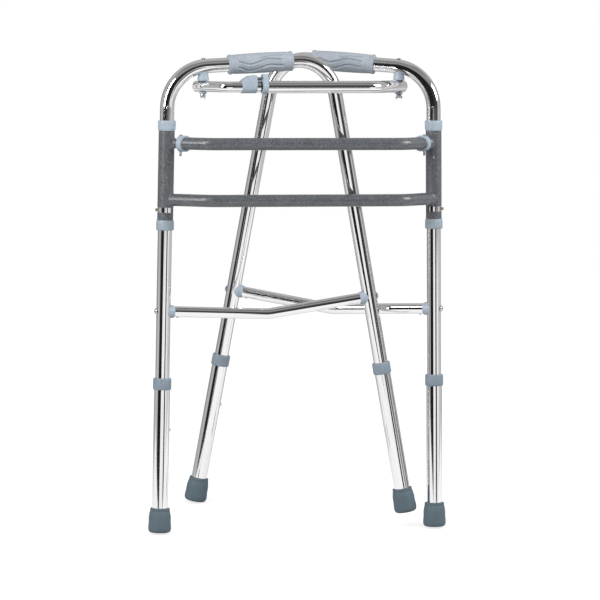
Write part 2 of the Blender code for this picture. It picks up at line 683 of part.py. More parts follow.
def make_side_frame(side, base):
    """One swinging side frame with all that it carries."""
    sign = 1 if side == "left" else -1
    fold = FOLD_LEFT if side == "left" else pi - FOLD_RIGHT
    hinge = make_empty(f"{side}_hinge", base, (-sign * FOOT_WIDTH / 2, 0, 0), (0, sign * SPLAY, fold), 'ZYX')
    frame = make_empty(f"{side}_frame", hinge, rotation=(0, -FRONT_LEAN, 0))
    leg_tube = tube(f"{side}_frame_tube", frame_path(), LEG_R, LEG_WALL, frame, CHROME)

    mark = sign * -radians(100)
    drill(leg_tube, "mark_hole", MARK_HOLE_R, (0, 0, MARK_HOLE_HEIGHT), polar(2 * LEG_R, mark, MARK_HOLE_HEIGHT),
          hinge, 8)
    pin = sign * PIN_ANGLE
    drill(leg_tube, "pin_hole", PIN_R + GAP, polar(0, pin, SLOT_HEIGHT), polar(2 * LEG_R, pin, SLOT_HEIGHT), hinge,
          8)
    inner_end, shoulder = LEG_R - LEG_WALL - 0.001, SLEEVE_R + 0.0012
    points = [(0, PIN_REACH), (PIN_R * 0.7, PIN_REACH), (PIN_R * 1.25, PIN_REACH - 0.001),
              (PIN_R * 1.25, shoulder + 0.001), (PIN_R, shoulder), (PIN_R, inner_end), (0, inner_end)]
    turn = (Vector((0, 0, 1)).rotation_difference(polar(1, pin))).to_euler()
    turned(f"{side}_slot_pin", points, hinge, BRASS, closed=False, steps=10, location=(0, 0, SLOT_HEIGHT),
           rotation=turn)

    make_grip(side, frame)
    make_brace(side, frame, leg_tube)
    make_link_mount(side, hinge, frame, leg_tube, INNER_R if side == "left" else OUTER_R)

    other = "right" if side == "left" else "left"
    front = make_empty(f"{side}_front_leg", frame, front_leg(0), (0, FRONT_LEAN, 0))
    rear = make_empty(f"{side}_rear_leg", frame, rear_leg(0), (0, -REAR_LEAN, 0))
    make_lower_leg(f"front_{side}", front, leg_tube)
    make_lower_leg(f"rear_{other}", rear, leg_tube)


def link_end_path(length, sign, turn, bend):
    """Line of one half of the link from its bent tail past its pivot: sign +1 runs towards +X."""
    tail = Vector((-sign * LINK_TAIL, LINK_SETFORWARD * LINK_TAIL / turn, 0))
    corner = Vector((sign * turn, -LINK_SETFORWARD, 0))
    end = Vector((sign * length, -LINK_SETFORWARD, 0))
    return fillet([tail, corner, end], [bend])


def make_latch(pivot):
    """Wedge-shaped sliding latch on the inner tube, its two prongs in the ring's lug."""
    front = RING_AT - PRONG_GAP
    back = front - LATCH_LENGTH
    side_view = [(back, -2 * LATCH_R), (front, -2 * LATCH_R), (front, LATCH_FRONT_HEIGHT),
                 (back + LATCH_SLOPE, LATCH_FRONT_HEIGHT), (back, LATCH_BACK_HEIGHT)]
    arc = [pi + pi * i / 8 for i in range(9)]
    end_view = [(LATCH_R * cos(a), LATCH_R * sin(a)) for a in arc]
    end_view += [(LATCH_R * 0.86, 2 * LATCH_R), (-LATCH_R * 0.86, 2 * LATCH_R)]
    section = outline_mesh("section", end_view, LATCH_LENGTH / 2)
    latch = put("link_latch", section, pivot, ((front + back) / 2, -LINK_SETFORWARD, 0),
                (pi / 2, 0, pi / 2), look=BLUE_GREY)
    wedge = outline_mesh("wedge", side_view, 2 * LATCH_R)
    combine(latch, put("latch_wedge", wedge, pivot, (0, -LINK_SETFORWARD, 0), (pi / 2, 0, 0)), 'INTERSECT')
    bevel(latch, 0.0016, 2)
    for i, height in enumerate(PRONG_HEIGHTS):
        reach = (front - 0.006, RING_AT - GAP)
        prong = [(reach[0], -PRONG_THICK / 2), (reach[1], -PRONG_THICK / 2), (reach[1], PRONG_THICK / 2),
                 (reach[0], PRONG_THICK / 2)]
        made = put(f"latch_prong_{i}", outline_mesh("prong", prong, PRONG_HALF), pivot,
                   (0, -LINK_SETFORWARD, height), (pi / 2, 0, 0))
        combine(latch, made, 'UNION')
    drill(latch, "bore", facet_bore(INNER_R + GAP), (0, -LINK_SETFORWARD, 0), (0.2, -LINK_SETFORWARD, 0), pivot,
          STEPS)


def make_ring(pivot, span):
    """Ring on the mouth of the outer tube, with the lug that the latch's prongs meet."""
    start = RING_AT - span
    arc = [radians(-210 + 240 * i / 12) for i in range(13)]
    outline = [(RING_R * cos(a), RING_R * sin(a)) for a in arc]
    outline += [(LUG_HALF, LUG_HEIGHT - 0.003), (LUG_HALF - 0.003, LUG_HEIGHT), (0.003 - LUG_HALF, LUG_HEIGHT),
                (-LUG_HALF, LUG_HEIGHT - 0.003)]
    half = RING_LENGTH / 2
    ring = put("link_ring", outline_mesh("ring", outline, half), pivot, (start + half, -LINK_SETFORWARD, 0),
               (pi / 2, 0, pi / 2), look=BLUE_GREY)
    bevel(ring, 0.0008)
    drill(ring, "bore", facet_bore(OUTER_R + GAP), (start + 0.0015, -LINK_SETFORWARD, 0),
          (start + 0.05, -LINK_SETFORWARD, 0), pivot, STEPS)
    drill(ring, "mouth", OUTER_R - LINK_WALL, (start - 0.05, -LINK_SETFORWARD, 0),
          (start + 0.05, -LINK_SETFORWARD, 0), pivot, STEPS)


def make_link(base):
    """The telescopic link: an inner arm on the left pivot, an outer arm on the right one."""
    pivots = {side: hinge_matrix(side) @ Vector((PIVOT_REACH, 0, LINK_HEIGHT)) for side in ("left", "right")}
    run = pivots["right"] - pivots["left"]
    span = run.length
    turn = (0, -asin(run.z / span), atan2(run.y, run.x) + LINK_TOE)
    left = make_empty("left_link_pivot", base, pivots["left"], turn)
    right = make_empty("right_link_pivot", base, pivots["right"], turn)
    inner_line = link_end_path(INNER_LENGTH, 1, INNER_TURN, INNER_BEND)
    inner_line[-1:-1] = [Vector((x, -LINK_SETFORWARD, 0)) for x in (SWAGE_START, SWAGE_START + SWAGE_LENGTH)]
    inner = tube("link_inner_tube", inner_line, INNER_R, LINK_WALL, left, CHROME, 3)
    for vertex in inner.data.vertices:
        if vertex.co.x > SWAGE_START + 0.001:
            vertex.co.y = (vertex.co.y + LINK_SETFORWARD) * SWAGE_HALF[0] / INNER_R - LINK_SETFORWARD
            vertex.co.z *= SWAGE_HALF[1] / INNER_R
    outer_line = link_end_path(span - RING_AT - 0.0018, -1, OUTER_TURN, OUTER_BEND)
    outer = tube("link_outer_tube", outer_line, OUTER_R, LINK_WALL, right, CHROME, 4)
    for made, pivot in ((inner, left), (outer, right)):
        drill(made, "pivot_hole", LINK_BOLT_R + BOLT_PLAY, (0, 0, -0.03), (0, 0, 0.03), pivot, 8)
    make_latch(left)
    make_ring(right, span)


def centre_on_floor():
    """Move the walker so that its bounding box is centred over the origin, on the floor."""
    bpy.context.view_layer.update()
    graph = bpy.context.evaluated_depsgraph_get()
    corners = []
    for made in PIECES.objects:
        if made.type == 'MESH':
            shaped = made.evaluated_get(graph)
            corners += [shaped.matrix_world @ vertex.co for vertex in shaped.data.vertices]
    low = [min(corner[i] for corner in corners) for i in range(3)]
    high = [max(corner[i] for corner in corners) for i in range(3)]
    BASE.location -= Vector(((low[0] + high[0]) / 2, (low[1] + high[1]) / 2, low[2]))


def report_joints():
    """Print where each joint is, in world metres."""
    bpy.context.view_layer.update()
    for made in PIECES.objects:
        if made.type == 'EMPTY':
            place = made.matrix_world
            axes = [[round(c, 6) for c in place.col[i].to_3d()] for i in (0, 2)]
            print("joint", made.name, [round(c, 6) for c in place.translation], "x", axes[0], "z", axes[1])


clear_scene()
PIECES = make_collection("reciprocal_walker")
CUTTERS = make_collection("cutters", hidden=True)
CHROME = make_material("chromed_tube", (0.78, 0.79, 0.80), 0.12, 1.0)
PAINT = make_material("grey_hammered_paint", (0.10, 0.11, 0.12), 0.42)
BLUE_GREY = make_material("blue_grey_plastic", (0.36, 0.42, 0.48), 0.45)
GRIP_GREY = make_material("grip_vinyl", (0.42, 0.46, 0.52), 0.55)
RUBBER = make_material("tip_rubber", (0.10, 0.15, 0.18), 0.75)
STEEL = make_material("zinc_steel", (0.55, 0.57, 0.58), 0.30, 1.0)
BRASS = make_material("brass_pin", (0.62, 0.50, 0.26), 0.32, 1.0)

TILT = stand_tilt()
REST = min(sole_low(TILT, "left", front_leg(0), FRONT_LEAN), sole_low(TILT, "right", rear_leg(0), -REAR_LEAN))
BASE = make_empty("walker", None, (0, 0, -REST), (-TILT, 0, 0))
make_cross_frame(BASE)
for SIDE in ("left", "right"):
    make_side_frame(SIDE, BASE)
make_link(BASE)
round_shade()
centre_on_floor()
report_joints()
print("lean back", round(degrees(TILT), 3), "degrees")
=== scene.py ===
"""Looks for the reciprocal walker: smooth chromed tube, hammered grey enamel, moulded plastic and rubber."""

import json
from math import asin, atan2, cos, exp, pi, radians, sin, tan

import bmesh
import bpy
from mathutils import Matrix, Vector


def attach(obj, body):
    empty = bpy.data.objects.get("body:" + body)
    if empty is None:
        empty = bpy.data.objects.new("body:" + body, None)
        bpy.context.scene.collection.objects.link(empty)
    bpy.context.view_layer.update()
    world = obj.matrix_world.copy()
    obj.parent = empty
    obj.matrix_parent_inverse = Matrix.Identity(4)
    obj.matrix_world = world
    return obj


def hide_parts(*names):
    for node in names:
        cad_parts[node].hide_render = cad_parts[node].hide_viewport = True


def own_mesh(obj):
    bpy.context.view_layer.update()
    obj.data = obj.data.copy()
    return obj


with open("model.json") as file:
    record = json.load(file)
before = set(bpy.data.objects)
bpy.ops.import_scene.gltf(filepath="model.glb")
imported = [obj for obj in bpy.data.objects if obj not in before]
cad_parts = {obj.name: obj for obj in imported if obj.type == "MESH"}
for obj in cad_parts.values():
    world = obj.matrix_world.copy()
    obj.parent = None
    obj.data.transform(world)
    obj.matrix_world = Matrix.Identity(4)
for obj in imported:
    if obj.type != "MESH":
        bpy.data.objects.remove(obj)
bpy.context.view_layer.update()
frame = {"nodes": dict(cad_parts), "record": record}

# Sizes of the walker, in metres, as its CAD has them
FOOT_WIDTH = 0.500
SPLAY = radians(0.73)
FRONT_LEAN = radians(4.1)
REAR_LEAN = radians(7.05)
FOOT_DEPTH = 0.450
TOP_HEIGHT = 0.812
FOLD = {"left": radians(1), "right": radians(150)}
INWARD = {"left": 1, "right": -1}

LEG_R, LEG_WALL = 0.0125, 0.0012
FRONT_BEND, REAR_BEND = 0.075, 0.067
LEG_END = 0.150
GRIP_LENGTH, GRIP_MIDDLE = 0.1155, 0.2240
GRIP_WALL, GRIP_CROWN, GRIP_RIM = 0.0038, 0.0015, 0.0011
GROOVE_DEPTH, GROOVE_HALF = 0.0027, 0.0015
BANK_HEIGHT, BANK_AT, BANK_HALF = 0.0006, 0.0032, 0.0016  # the swell on one side of a groove
BRACE_HEIGHT, BRACE_SAG, BRACE_R, BRACE_WALL, BRACE_BEND = 0.388, 0.0175, 0.0095, 0.0012, 0.060
BRACE_BOLT_R = 0.0028
SADDLE_R, SADDLE_LENGTH = 0.0108, 0.0065
LOWER_R, LOWER_WALL, LOWER_FOOT, LOWER_TOP = 0.0140, 0.0011, 0.012, 0.268
COLLAR_R, COLLAR_TOP, COLLAR_LENGTH = 0.0161, 0.272, 0.0205
TIP_HEIGHT, TIP_SOLE_R, TIP_MOUTH_R = 0.043, 0.0202, 0.0170
BUTTON_HEIGHT, BUTTON_R, HOLE_PITCH, HOLE_COUNT = 0.181, 0.0031, 0.025, 5
SLEEVE_R, SLEEVE_WALL, SLEEVE_FOOT, SLEEVE_TOP = 0.0140, 0.0011, 0.5353, 0.7190
BUSH_R, BUSH_LENGTH, BUSH_LIP = 0.0156, 0.0176, 0.0040
UPPER_BAR, LOWER_BAR, BAR_R, BAR_WALL = 0.6835, 0.5847, 0.0108, 0.0012
BAR_BOW, BAR_SWEEP, BAR_BEND = 0.055, 0.070, 0.045
BAR_TURN = atan2(BAR_BOW, BAR_SWEEP)
UPPER_BAR_SETBACK, STUB_R, STUB_REACH = 0.0340, 0.0080, 0.0320
BLOCK_R, BLOCK_START, BLOCK_LENGTH = 0.0140, 0.0235, 0.0155
COLLAR_OVERRUN, MOUTH_MIDDLE, MOUTH_SLANT = 0.0035, 0.0378, 0.34  # the bar collar's far end
STUB_WELD, LOWER_WELD = 0.0048, 0.0030
BAR_PIN_R, BAR_PIN_DROP = 0.0023, 0.0080
MARK_HOLE_HEIGHT, MARK_HOLE_R, MARK_SINK_R, MARK_TURN = 0.746, 0.0015, 0.0026, radians(100)
RIVET_HOLE_HEIGHT, RIVET_HOLE_R, RIVET_HOLE_TURN = 0.658, 0.0018, radians(-103)
SLOT_HEIGHT, SLOT_HALF, SLOT_BACK = 0.5665, 0.0045, radians(16)
SLOT_AHEAD = {"left": radians(153), "right": radians(138)}
PIN_R, PIN_REACH, PIN_ANGLE = 0.0025, 0.0176, radians(165)
PIVOT_REACH, LINK_HEIGHT, LINK_SETFORWARD = 0.0635, 0.7831, 0.0413
INNER_TURN, OUTER_TURN, LINK_TAIL, LINK_TOE = 0.030, 0.060, 0.0095, radians(0.69)
INNER_BEND, OUTER_BEND = 0.020, 0.045
INNER_R, OUTER_R, LINK_WALL, INNER_LENGTH = 0.0095, 0.0108, 0.0008, 0.278
RING_AT, RING_LENGTH, RING_R, RING_FORWARD = 0.0963, 0.0062, 0.0122, 0.0030
OUTER_START = RING_AT + 0.0018  # where the outer tube begins, inside the ring
SWAGE_START, SWAGE_LENGTH, SWAGE_HALF, SWAGE_PLAY = 0.0906, 0.0022, (0.0042, 0.0072), 0.0012
LUG_HEIGHT, LUG_HALF = 0.0228, 0.0075
LATCH_LENGTH, LATCH_R = 0.0270, 0.0109
LATCH_BACK_HEIGHT, LATCH_FRONT_HEIGHT = 0.0112, 0.0204
# Planes that cut the latch's top: (reach from its back, share of its rise, slope)
LATCH_TOP = ((0.0, 0.0, 0.62), (0.0085, 0.62, 0.38), (0.0165, 0.90, 0.12))
PRONG_GAP, PRONG_HALF, PRONG_THICK, PRONG_HEIGHTS = 0.0128, 0.0050, 0.0022, (0.0112, 0.0162)
PRONG_ROOT, WEB_THICK = 0.006, 0.002
SPACER_R, LINK_BOLT_R, WASHER_R, WASHER_HEIGHT = 0.0100, 0.0029, 0.0068, 0.0026
NUT_R, NUT_HEIGHT, LINK_HEAD_R, LINK_HEAD_HEIGHT, HEAD_REST = 0.0050, 0.0052, 0.0044, 0.0020, 0.0002
CLIP_REACH, CLIP_THICK, CLIP_HALF, CLIP_LEGS = 0.0098, 0.0010, 0.0034, (0.006, -0.028, -0.038)
BUTTON_PROUD, BUTTON_TRAVEL = 0.0024, 0.004
GAP, BOLT_PLAY = 0.0003, 0.0005
BEND_FACET = radians(2.5)

BUTTON_TURN = {
    "front_left": radians(-14), "rear_right": radians(89),
    "rear_left": radians(-163), "front_right": radians(-60),
}
CARRIED_BY = {"front_left": "left", "rear_right": "left", "rear_left": "right", "front_right": "right"}


class Wired:
    """A shader socket that takes part in plain arithmetic."""

    def __init__(self, finish, socket):
        self.finish = finish
        self.socket = socket

    def _with(self, operation, *values):
        return self.finish.node('ShaderNodeMath', {"operation": operation}, dict(enumerate(values)))

    def __add__(self, other): return self._with('ADD', self, other)
    def __sub__(self, other): return self._with('SUBTRACT', self, other)
    def __mul__(self, other): return self._with('MULTIPLY', self, other)
    def __truediv__(self, other): return self._with('DIVIDE', self, other)
    def __rsub__(self, other): return self._with('SUBTRACT', other, self)
    __radd__, __rmul__ = __add__, __mul__

    def between(self, low, high):
        """0 below low, 1 above high, smooth in between."""
        return self.finish.node('ShaderNodeMapRange', {"interpolation_type": 'SMOOTHSTEP'},
                                {"Value": self, "From Min": low, "From Max": high})


class Nodes:
    """A node tree, and short ways to add to it."""

    def __init__(self, tree):
        self.tree = tree

    def set(self, node, values):
        for key, value in values.items():
            socket = node.inputs[key.replace("_", " ") if isinstance(key, str) else key]
            if isinstance(value, Wired):
                self.tree.links.new(value.socket, socket)
            else:
                socket.default_value = value

    def node(self, kind, settings=None, values=None, output=0):
        made = self.tree.nodes.new(kind)
        for key, value in (settings or {}).items():
            if key == "stops":
                ramp = made.color_ramp
                for place, shade in value[1:-1]:
                    ramp.elements.new(place)
                for element, (place, shade) in zip(ramp.elements, value):
                    element.position = place
                    element.color = (shade, shade, shade, 1)
            else:
                setattr(made, key, value)
        self.set(made, values or {})
        return Wired(self, made.outputs[output])

    def parts(self, vector):
        """The three numbers of a vector."""
        made = self.tree.nodes.new('ShaderNodeSeparateXYZ')
        self.tree.links.new(vector.socket, made.inputs[0])
        return [Wired(self, socket) for socket in made.outputs]

    def rays(self):
        """Whether a ray comes from the camera, from a mirror or through glass: 0 or 1 each."""
        kinds = ("Camera", "Glossy", "Transmission")
        return [self.node('ShaderNodeLightPath', output=f"Is {kind} Ray") for kind in kinds]

    def mix(self, factor, low, high):
        made = self.tree.nodes.new('ShaderNodeMix')
        made.data_type = 'RGBA'
        for socket, value in ((made.inputs[0], factor), (made.inputs[6], low), (made.inputs[7], high)):
            if isinstance(value, Wired):
                self.tree.links.new(value.socket, socket)
            else:
                socket.default_value = value
        return Wired(self, made.outputs[2])


class Finish(Nodes):
    """One material, on the Principled shader."""

    def __init__(self, name, **surface):
        self.material = bpy.data.materials.new(name)
        self.material.use_nodes = True
        super().__init__(self.material.node_tree)
        self.shader = self.tree.nodes["Principled BSDF"]
        self.place = self.node('ShaderNodeTexCoord', output="Object")
        self.set(self.shader, surface)

    def noise(self, scale, detail=3.0, rough=0.5):
        return self.node('ShaderNodeTexNoise', {}, {"Vector": self.place, "Scale": scale, "Detail": detail,
                                                   "Roughness": rough})

    def cells(self, scale):
        return self.node('ShaderNodeTexVoronoi', {}, {"Vector": self.place, "Scale": scale}, "Distance")

    def bump(self, height, distance, strength):
        values = {"Height": height, "Distance": distance, "Strength": strength}
        self.set(self.shader, {"Normal": self.node('ShaderNodeBump', {}, values)})


def tone(red, green, blue):
    """A colour from its value on screen, 0 to 255."""
    channels = []
    for value in (red, green, blue):
        v = value / 255
        channels.append(v / 12.92 if v <= 0.04045 else ((v + 0.055) / 1.055) ** 2.4)
    return (*channels, 1.0)


def chrome_finish():
    """Bright chrome plate over drawn tube: faint polishing haze and a few specks."""
    chrome = Finish("chrome_plate", Metallic=1.0, IOR=2.5)
    haze = chrome.noise(9, 4)
    specks = chrome.cells(420).between(0.10, 0.02) * chrome.noise(60, 2).between(0.58, 0.66)
    chrome.set(chrome.shader, {
        "Base_Color": chrome.mix(haze.between(0.35, 0.65), (0.84, 0.83, 0.84, 1), (0.88, 0.87, 0.88, 1)),
        "Roughness": 0.05 + haze * 0.05 + specks * 0.2})
    chrome.bump(chrome.noise(22, 1) + specks * 0.2, 0.00008, 0.3)
    return chrome.material


def enamel_finish():
    """Grey hammered stove enamel: finely mottled and dimpled, semi-gloss."""
    enamel = Finish("hammered_enamel", Coat_Roughness=0.22, Specular_IOR_Level=0.6)
    dimples = enamel.cells(560)
    flecks = enamel.noise(460, 2, 0.8).between(0.50, 0.66)
    pits = enamel.noise(500, 2, 0.8).between(0.50, 0.34)
    cloud = enamel.noise(60, 3)
    grey = enamel.mix(cloud.between(0.3, 0.7), tone(70, 73, 77), tone(82, 85, 90))
    grey = enamel.mix(pits * 0.55, grey, tone(34, 36, 40))
    enamel.set(enamel.shader, {
        "Base_Color": enamel.mix(flecks * 0.5, grey, tone(146, 150, 156)),
        "Roughness": 0.28 + dimples * 0.22, "Coat_Weight": 0.45})
    enamel.bump(dimples + enamel.noise(240, 2) * 0.6, 0.0004, 0.4)
    return enamel.material


def plastic_finish(name, colour, rough, grain, depth, mottle=0.06, speckle=0.16):
    """Moulded plastic or rubber with a fine grain and a little wear."""
    plastic = Finish(name)
    cloud = plastic.noise(38, 4).between(0.3, 0.7)
    fleck = plastic.noise(grain * 0.6, 2, 0.8).between(0.48, 0.66)
    pit = plastic.noise(grain * 0.55, 2, 0.8).between(0.48, 0.34)
    low, high = ((*(c * k for c in colour[:3]), 1.0) for k in (1 - mottle, 1 + mottle))
    pale = (*(min(1.0, c * (1 + 1.6 * speckle)) for c in colour[:3]), 1.0)
    dark = (*(c * (1 - 1.5 * speckle) for c in colour[:3]), 1.0)
    base = plastic.mix(pit * 0.9, plastic.mix(cloud, low, high), dark)
    plastic.set(plastic.shader, {"Base_Color": plastic.mix(fleck * 0.9, base, pale),
                                 "Roughness": rough + cloud * 0.08})
    plastic.bump(plastic.noise(grain, 3, 0.6), depth, 0.5)
    return plastic.material


def metal_finish(name, colour, rough):
    """Small turned metal parts."""
    metal = Finish(name, Metallic=1.0)
    cloud = metal.noise(150, 3)
    metal.set(metal.shader, {"Base_Color": metal.mix(cloud, (*(c * 0.8 for c in colour[:3]), 1.0), colour),
                             "Roughness": rough + cloud * 0.15})
    metal.bump(metal.noise(900, 2), 0.00005, 0.4)
    return metal.material


CHROME = chrome_finish()
ENAMEL = enamel_finish()
NYLON = plastic_finish("blue_grey_nylon", tone(160, 173, 185), 0.42, 900, 0.00012)
# The leg collars' nylon: the same blue-grey plastic as NYLON, darkened as painted shade
SHADED_COLLAR_NYLON = plastic_finish("leg_collar_painted_shade_nylon", tone(126, 139, 151), 0.45, 900, 0.00015, 0.08)
# The lower bushes' nylon: the same blue-grey plastic as NYLON, darkened as painted shade
SHADED_BUSH_NYLON = plastic_finish("lower_bush_painted_shade_nylon", tone(146, 159, 169), 0.42, 900, 0.00012)
VINYL = plastic_finish("grip_vinyl", tone(156, 164, 173), 0.5, 700, 0.00025)
RUBBER = plastic_finish("tip_rubber", tone(82, 98, 107), 0.62, 800, 0.0002, 0.09, 0.10)
ZINC = metal_finish("bright_zinc", (0.62, 0.64, 0.66, 1), 0.2)
BRASS = metal_finish("yellow_zinc", (0.44, 0.37, 0.27, 1), 0.3)
# One plastic slot takes all three nylons; the two darker ones carry painted shade
SLOT_OF = {
    CHROME: "chromed_tube", ENAMEL: "grey_hammered_paint", NYLON: "blue_grey_plastic",
    SHADED_BUSH_NYLON: "blue_grey_plastic", SHADED_COLLAR_NYLON: "blue_grey_plastic", VINYL: "grip_vinyl",
    RUBBER: "tip_rubber", ZINC: "zinc_steel", BRASS: "brass_pin",
}

# Where things are: the floor frame, and from it each sleeve, side frame and leg
swings = {j["name"]: j for j in frame["record"]["behaviour"]["joints"]}
hips = [Vector(swings[f"{side}_frame_swing"]["pos_m"]) for side in ("left", "right")]
upright = Vector(swings["left_frame_swing"]["axis"])
LEAN_BACK = atan2(upright.y, upright.z)
BASE = Matrix.Translation((hips[0] + hips[1]) / 2) @ Matrix.Rotation(-LEAN_BACK, 4, 'X')


def turn(axis, angle):
    return Matrix.Rotation(angle, 4, axis)


def shift(x, y=0.0, z=0.0):
    return Matrix.Translation((x, y, z))


def polar(radius, angle, height=0.0):
    return Vector((radius * cos(angle), radius * sin(angle), height))


def facing(point, way):
    """A place at a point, with its Z along a direction."""
    return Matrix.Translation(point) @ way.to_track_quat('Z', 'Y').to_matrix().to_4x4()


def front_leg(height):
    return Vector((height * tan(FRONT_LEAN), 0, height))


def rear_leg(height):
    return Vector((FOOT_DEPTH - height * tan(REAR_LEAN), 0, height))


SLEEVE = {s: BASE @ shift(-k * FOOT_WIDTH / 2) @ turn('Y', k * SPLAY) for s, k in INWARD.items()}
HINGE = {s: SLEEVE[s] @ turn('Z', FOLD[s]) for s in INWARD}
SIDE = {s: HINGE[s] @ turn('Y', -FRONT_LEAN) for s in INWARD}
LEG = {}
for corner, side in CARRIED_BY.items():
    if corner.startswith("front"):
        LEG[corner] = HINGE[side]
    else:
        LEG[corner] = SIDE[side] @ Matrix.Translation(rear_leg(0)) @ turn('Y', -REAR_LEAN)


def move(work, place):
    bmesh.ops.transform(work, matrix=place, verts=work.verts)


def outward(work):
    """Turn every face outwards."""
    bmesh.ops.recalc_face_normals(work, faces=work.faces)


def open_edges(work):
    return [e for e in work.edges if e.is_boundary]


def mesh_from(name, work):
    mesh = bpy.data.meshes.new(name)
    work.to_mesh(mesh)
    work.free()
    return mesh


def in_scene(name, data):
    made = bpy.data.objects.new(name, data)
    bpy.context.scene.collection.objects.link(made)
    return made


def keep(name, work, place, look, body, replaces=(), sharp=32):
    """Turn a bmesh in its own space into a finished piece in its place."""
    move(work, place)
    mesh = mesh_from(name, work)
    made = in_scene(name, mesh)
    mesh.materials.append(look)
    mesh.shade_smooth()
    mesh.set_sharp_from_angle(angle=radians(sharp))
    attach(made, body)
    if replaces:
        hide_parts(*replaces)
    return made


def new_verts(grown):
    return [g for g in grown["geom"] if isinstance(g, bmesh.types.BMVert)]


def far_edges(grown, verts):
    """Of what an extrusion made, the edges of its far loop."""
    edges = [g for g in grown["geom"] if isinstance(g, bmesh.types.BMEdge)]
    return [e for e in edges if all(v in verts for v in e.verts)]


def steps_from(radius, height, *steps, up=1):
    """Points of a profile, each a small step out and up from one corner of it."""
    return [(radius + out, height + up * rise) for out, rise in steps]


def soften(work, width, angle=radians(28), segments=3):
    """Round every edge sharper than an angle."""
    edges = [e for e in work.edges if e.is_manifold and e.calc_face_angle(0) > angle]
    bmesh.ops.bevel(work, geom=edges, offset=width, segments=segments, profile=0.5, affect='EDGES',
                    material=-1, clamp_overlap=True)


def spun(profile, closed=False, steps=48):
    """Spin a line of (radius, height) points round Z."""
    work = bmesh.new()
    line = [work.verts.new((r, 0, z)) for r, z in profile]
    pairs = list(zip(line, line[1:])) + ([(line[-1], line[0])] if closed else [])
    edges = [work.edges.new(pair) for pair in pairs]
    bmesh.ops.spin(work, geom=line + edges, cent=(0, 0, 0), axis=(0, 0, 1), angle=2 * pi, steps=steps,
                   use_merge=True)
    bmesh.ops.remove_doubles(work, verts=work.verts, dist=1e-6)
    return work


def turned(profile, closed=False, steps=48):
    """A line of (radius, height) points spun round Z, its faces outwards."""
    work = spun(profile, closed, steps)
    outward(work)
    return work


def bent_tube(corners, bends, radius, wall, around=40):
    """A hollow tube, or a solid bar if it has no wall.

    A circle is pushed along the straights and spun round the bends.
    """
    work = bmesh.new()
    points = [Vector(c) for c in corners]
    along = (points[1] - points[0]).normalized()
    here = points[0]
    loop = bmesh.ops.create_circle(work, cap_ends=False, segments=around, radius=radius,
                                   matrix=facing(here, along))["verts"]
    geom = loop + list({e for v in loop for e in v.link_edges})

    def push(geom, distance):
        edges = [g for g in geom if isinstance(g, bmesh.types.BMEdge)]
        grown = bmesh.ops.extrude_edge_only(work, edges=edges)
        verts = new_verts(grown)
        bmesh.ops.translate(work, verts=verts, vec=distance)
        return verts + far_edges(grown, verts)

    for corner, after, bend in zip(points[1:], points[2:], bends):
        out = (after - corner).normalized()
        angle = along.angle(out)
        if angle < 1e-4:
            geom = push(geom, corner - here)
            here = corner
            continue
        reach = bend * tan(angle / 2)
        geom = push(geom, corner - along * reach - here)
        here = corner - along * reach
        axis = along.cross(out).normalized()
        centre = here + axis.cross(along).normalized() * bend
        swept = bmesh.ops.spin(work, geom=geom, cent=centre, axis=axis, angle=angle,
                               steps=max(4, round(angle / BEND_FACET)))
        geom = swept["geom_last"]
        here = corner + out * reach
        along = out
    push(geom, points[-1] - here)
    if wall:
        outward(work)
        bmesh.ops.solidify(work, geom=work.faces[:], thickness=wall)
    else:
        bmesh.ops.holes_fill(work, edges=open_edges(work))
    outward(work)
    return work


def pipe(radius, wall, low, high):
    """A straight hollow tube round Z."""
    bore = radius - wall
    return turned([(radius, high), (radius, low), (bore, low), (bore, high)], closed=True, steps=96)


def rod(radius, start, end, around=24):
    """A capped round bar between two points."""
    start, end = Vector(start), Vector(end)
    work = bmesh.new()
    bmesh.ops.create_cone(work, cap_ends=True, segments=around, radius1=radius, radius2=radius,
                          depth=(end - start).length, matrix=facing((start + end) / 2, end - start))
    return work


def thicken(work, face, rise):
    """Raise a closed form from a flat face, along Z."""
    grown = bmesh.ops.extrude_face_region(work, geom=[face])
    bmesh.ops.translate(work, verts=new_verts(grown), vec=(0, 0, rise))
    outward(work)


def slab(outline, low, high, place=None):
    """A flat outline in XY, thickened along Z."""
    work = bmesh.new()
    thicken(work, work.faces.new([work.verts.new((x, y, low)) for x, y in outline]), high - low)
    if place:
        move(work, place)
    return work


def oblong(start, end, half):
    return [(start, -half), (end, -half), (end, half), (start, half)]


def sliced(work, place, normal):
    """Cut off what lies on the normal's side of a plane, and close the cut."""
    bmesh.ops.bisect_plane(work, geom=work.verts[:] + work.edges[:] + work.faces[:], plane_co=place,
                           plane_no=normal, clear_outer=True)
    bmesh.ops.holes_fill(work, edges=open_edges(work))
    outward(work)


def joined(*works):
    """All of several bmeshes in one."""
    whole = bmesh.new()
    for work in works:
        mesh = mesh_from("part", work)
        whole.from_mesh(mesh)
        bpy.data.meshes.remove(mesh)
    return whole


def carved(work, tools, operation='DIFFERENCE'):
    """Cut tools out of a shape, or join them to it, with an exact Boolean that is applied at once."""
    held = [in_scene("carving", mesh_from("carving", shape)) for shape in (work, tools)]
    boolean = held[0].modifiers.new("Carve", 'BOOLEAN')
    boolean.operation = operation
    boolean.object = held[1]
    boolean.solver = 'EXACT'
    result = bmesh.new()
    result.from_object(held[0], bpy.context.evaluated_depsgraph_get())
    for made in held:
        mesh = made.data
        bpy.data.objects.remove(made)
        bpy.data.meshes.remove(mesh)
    return result


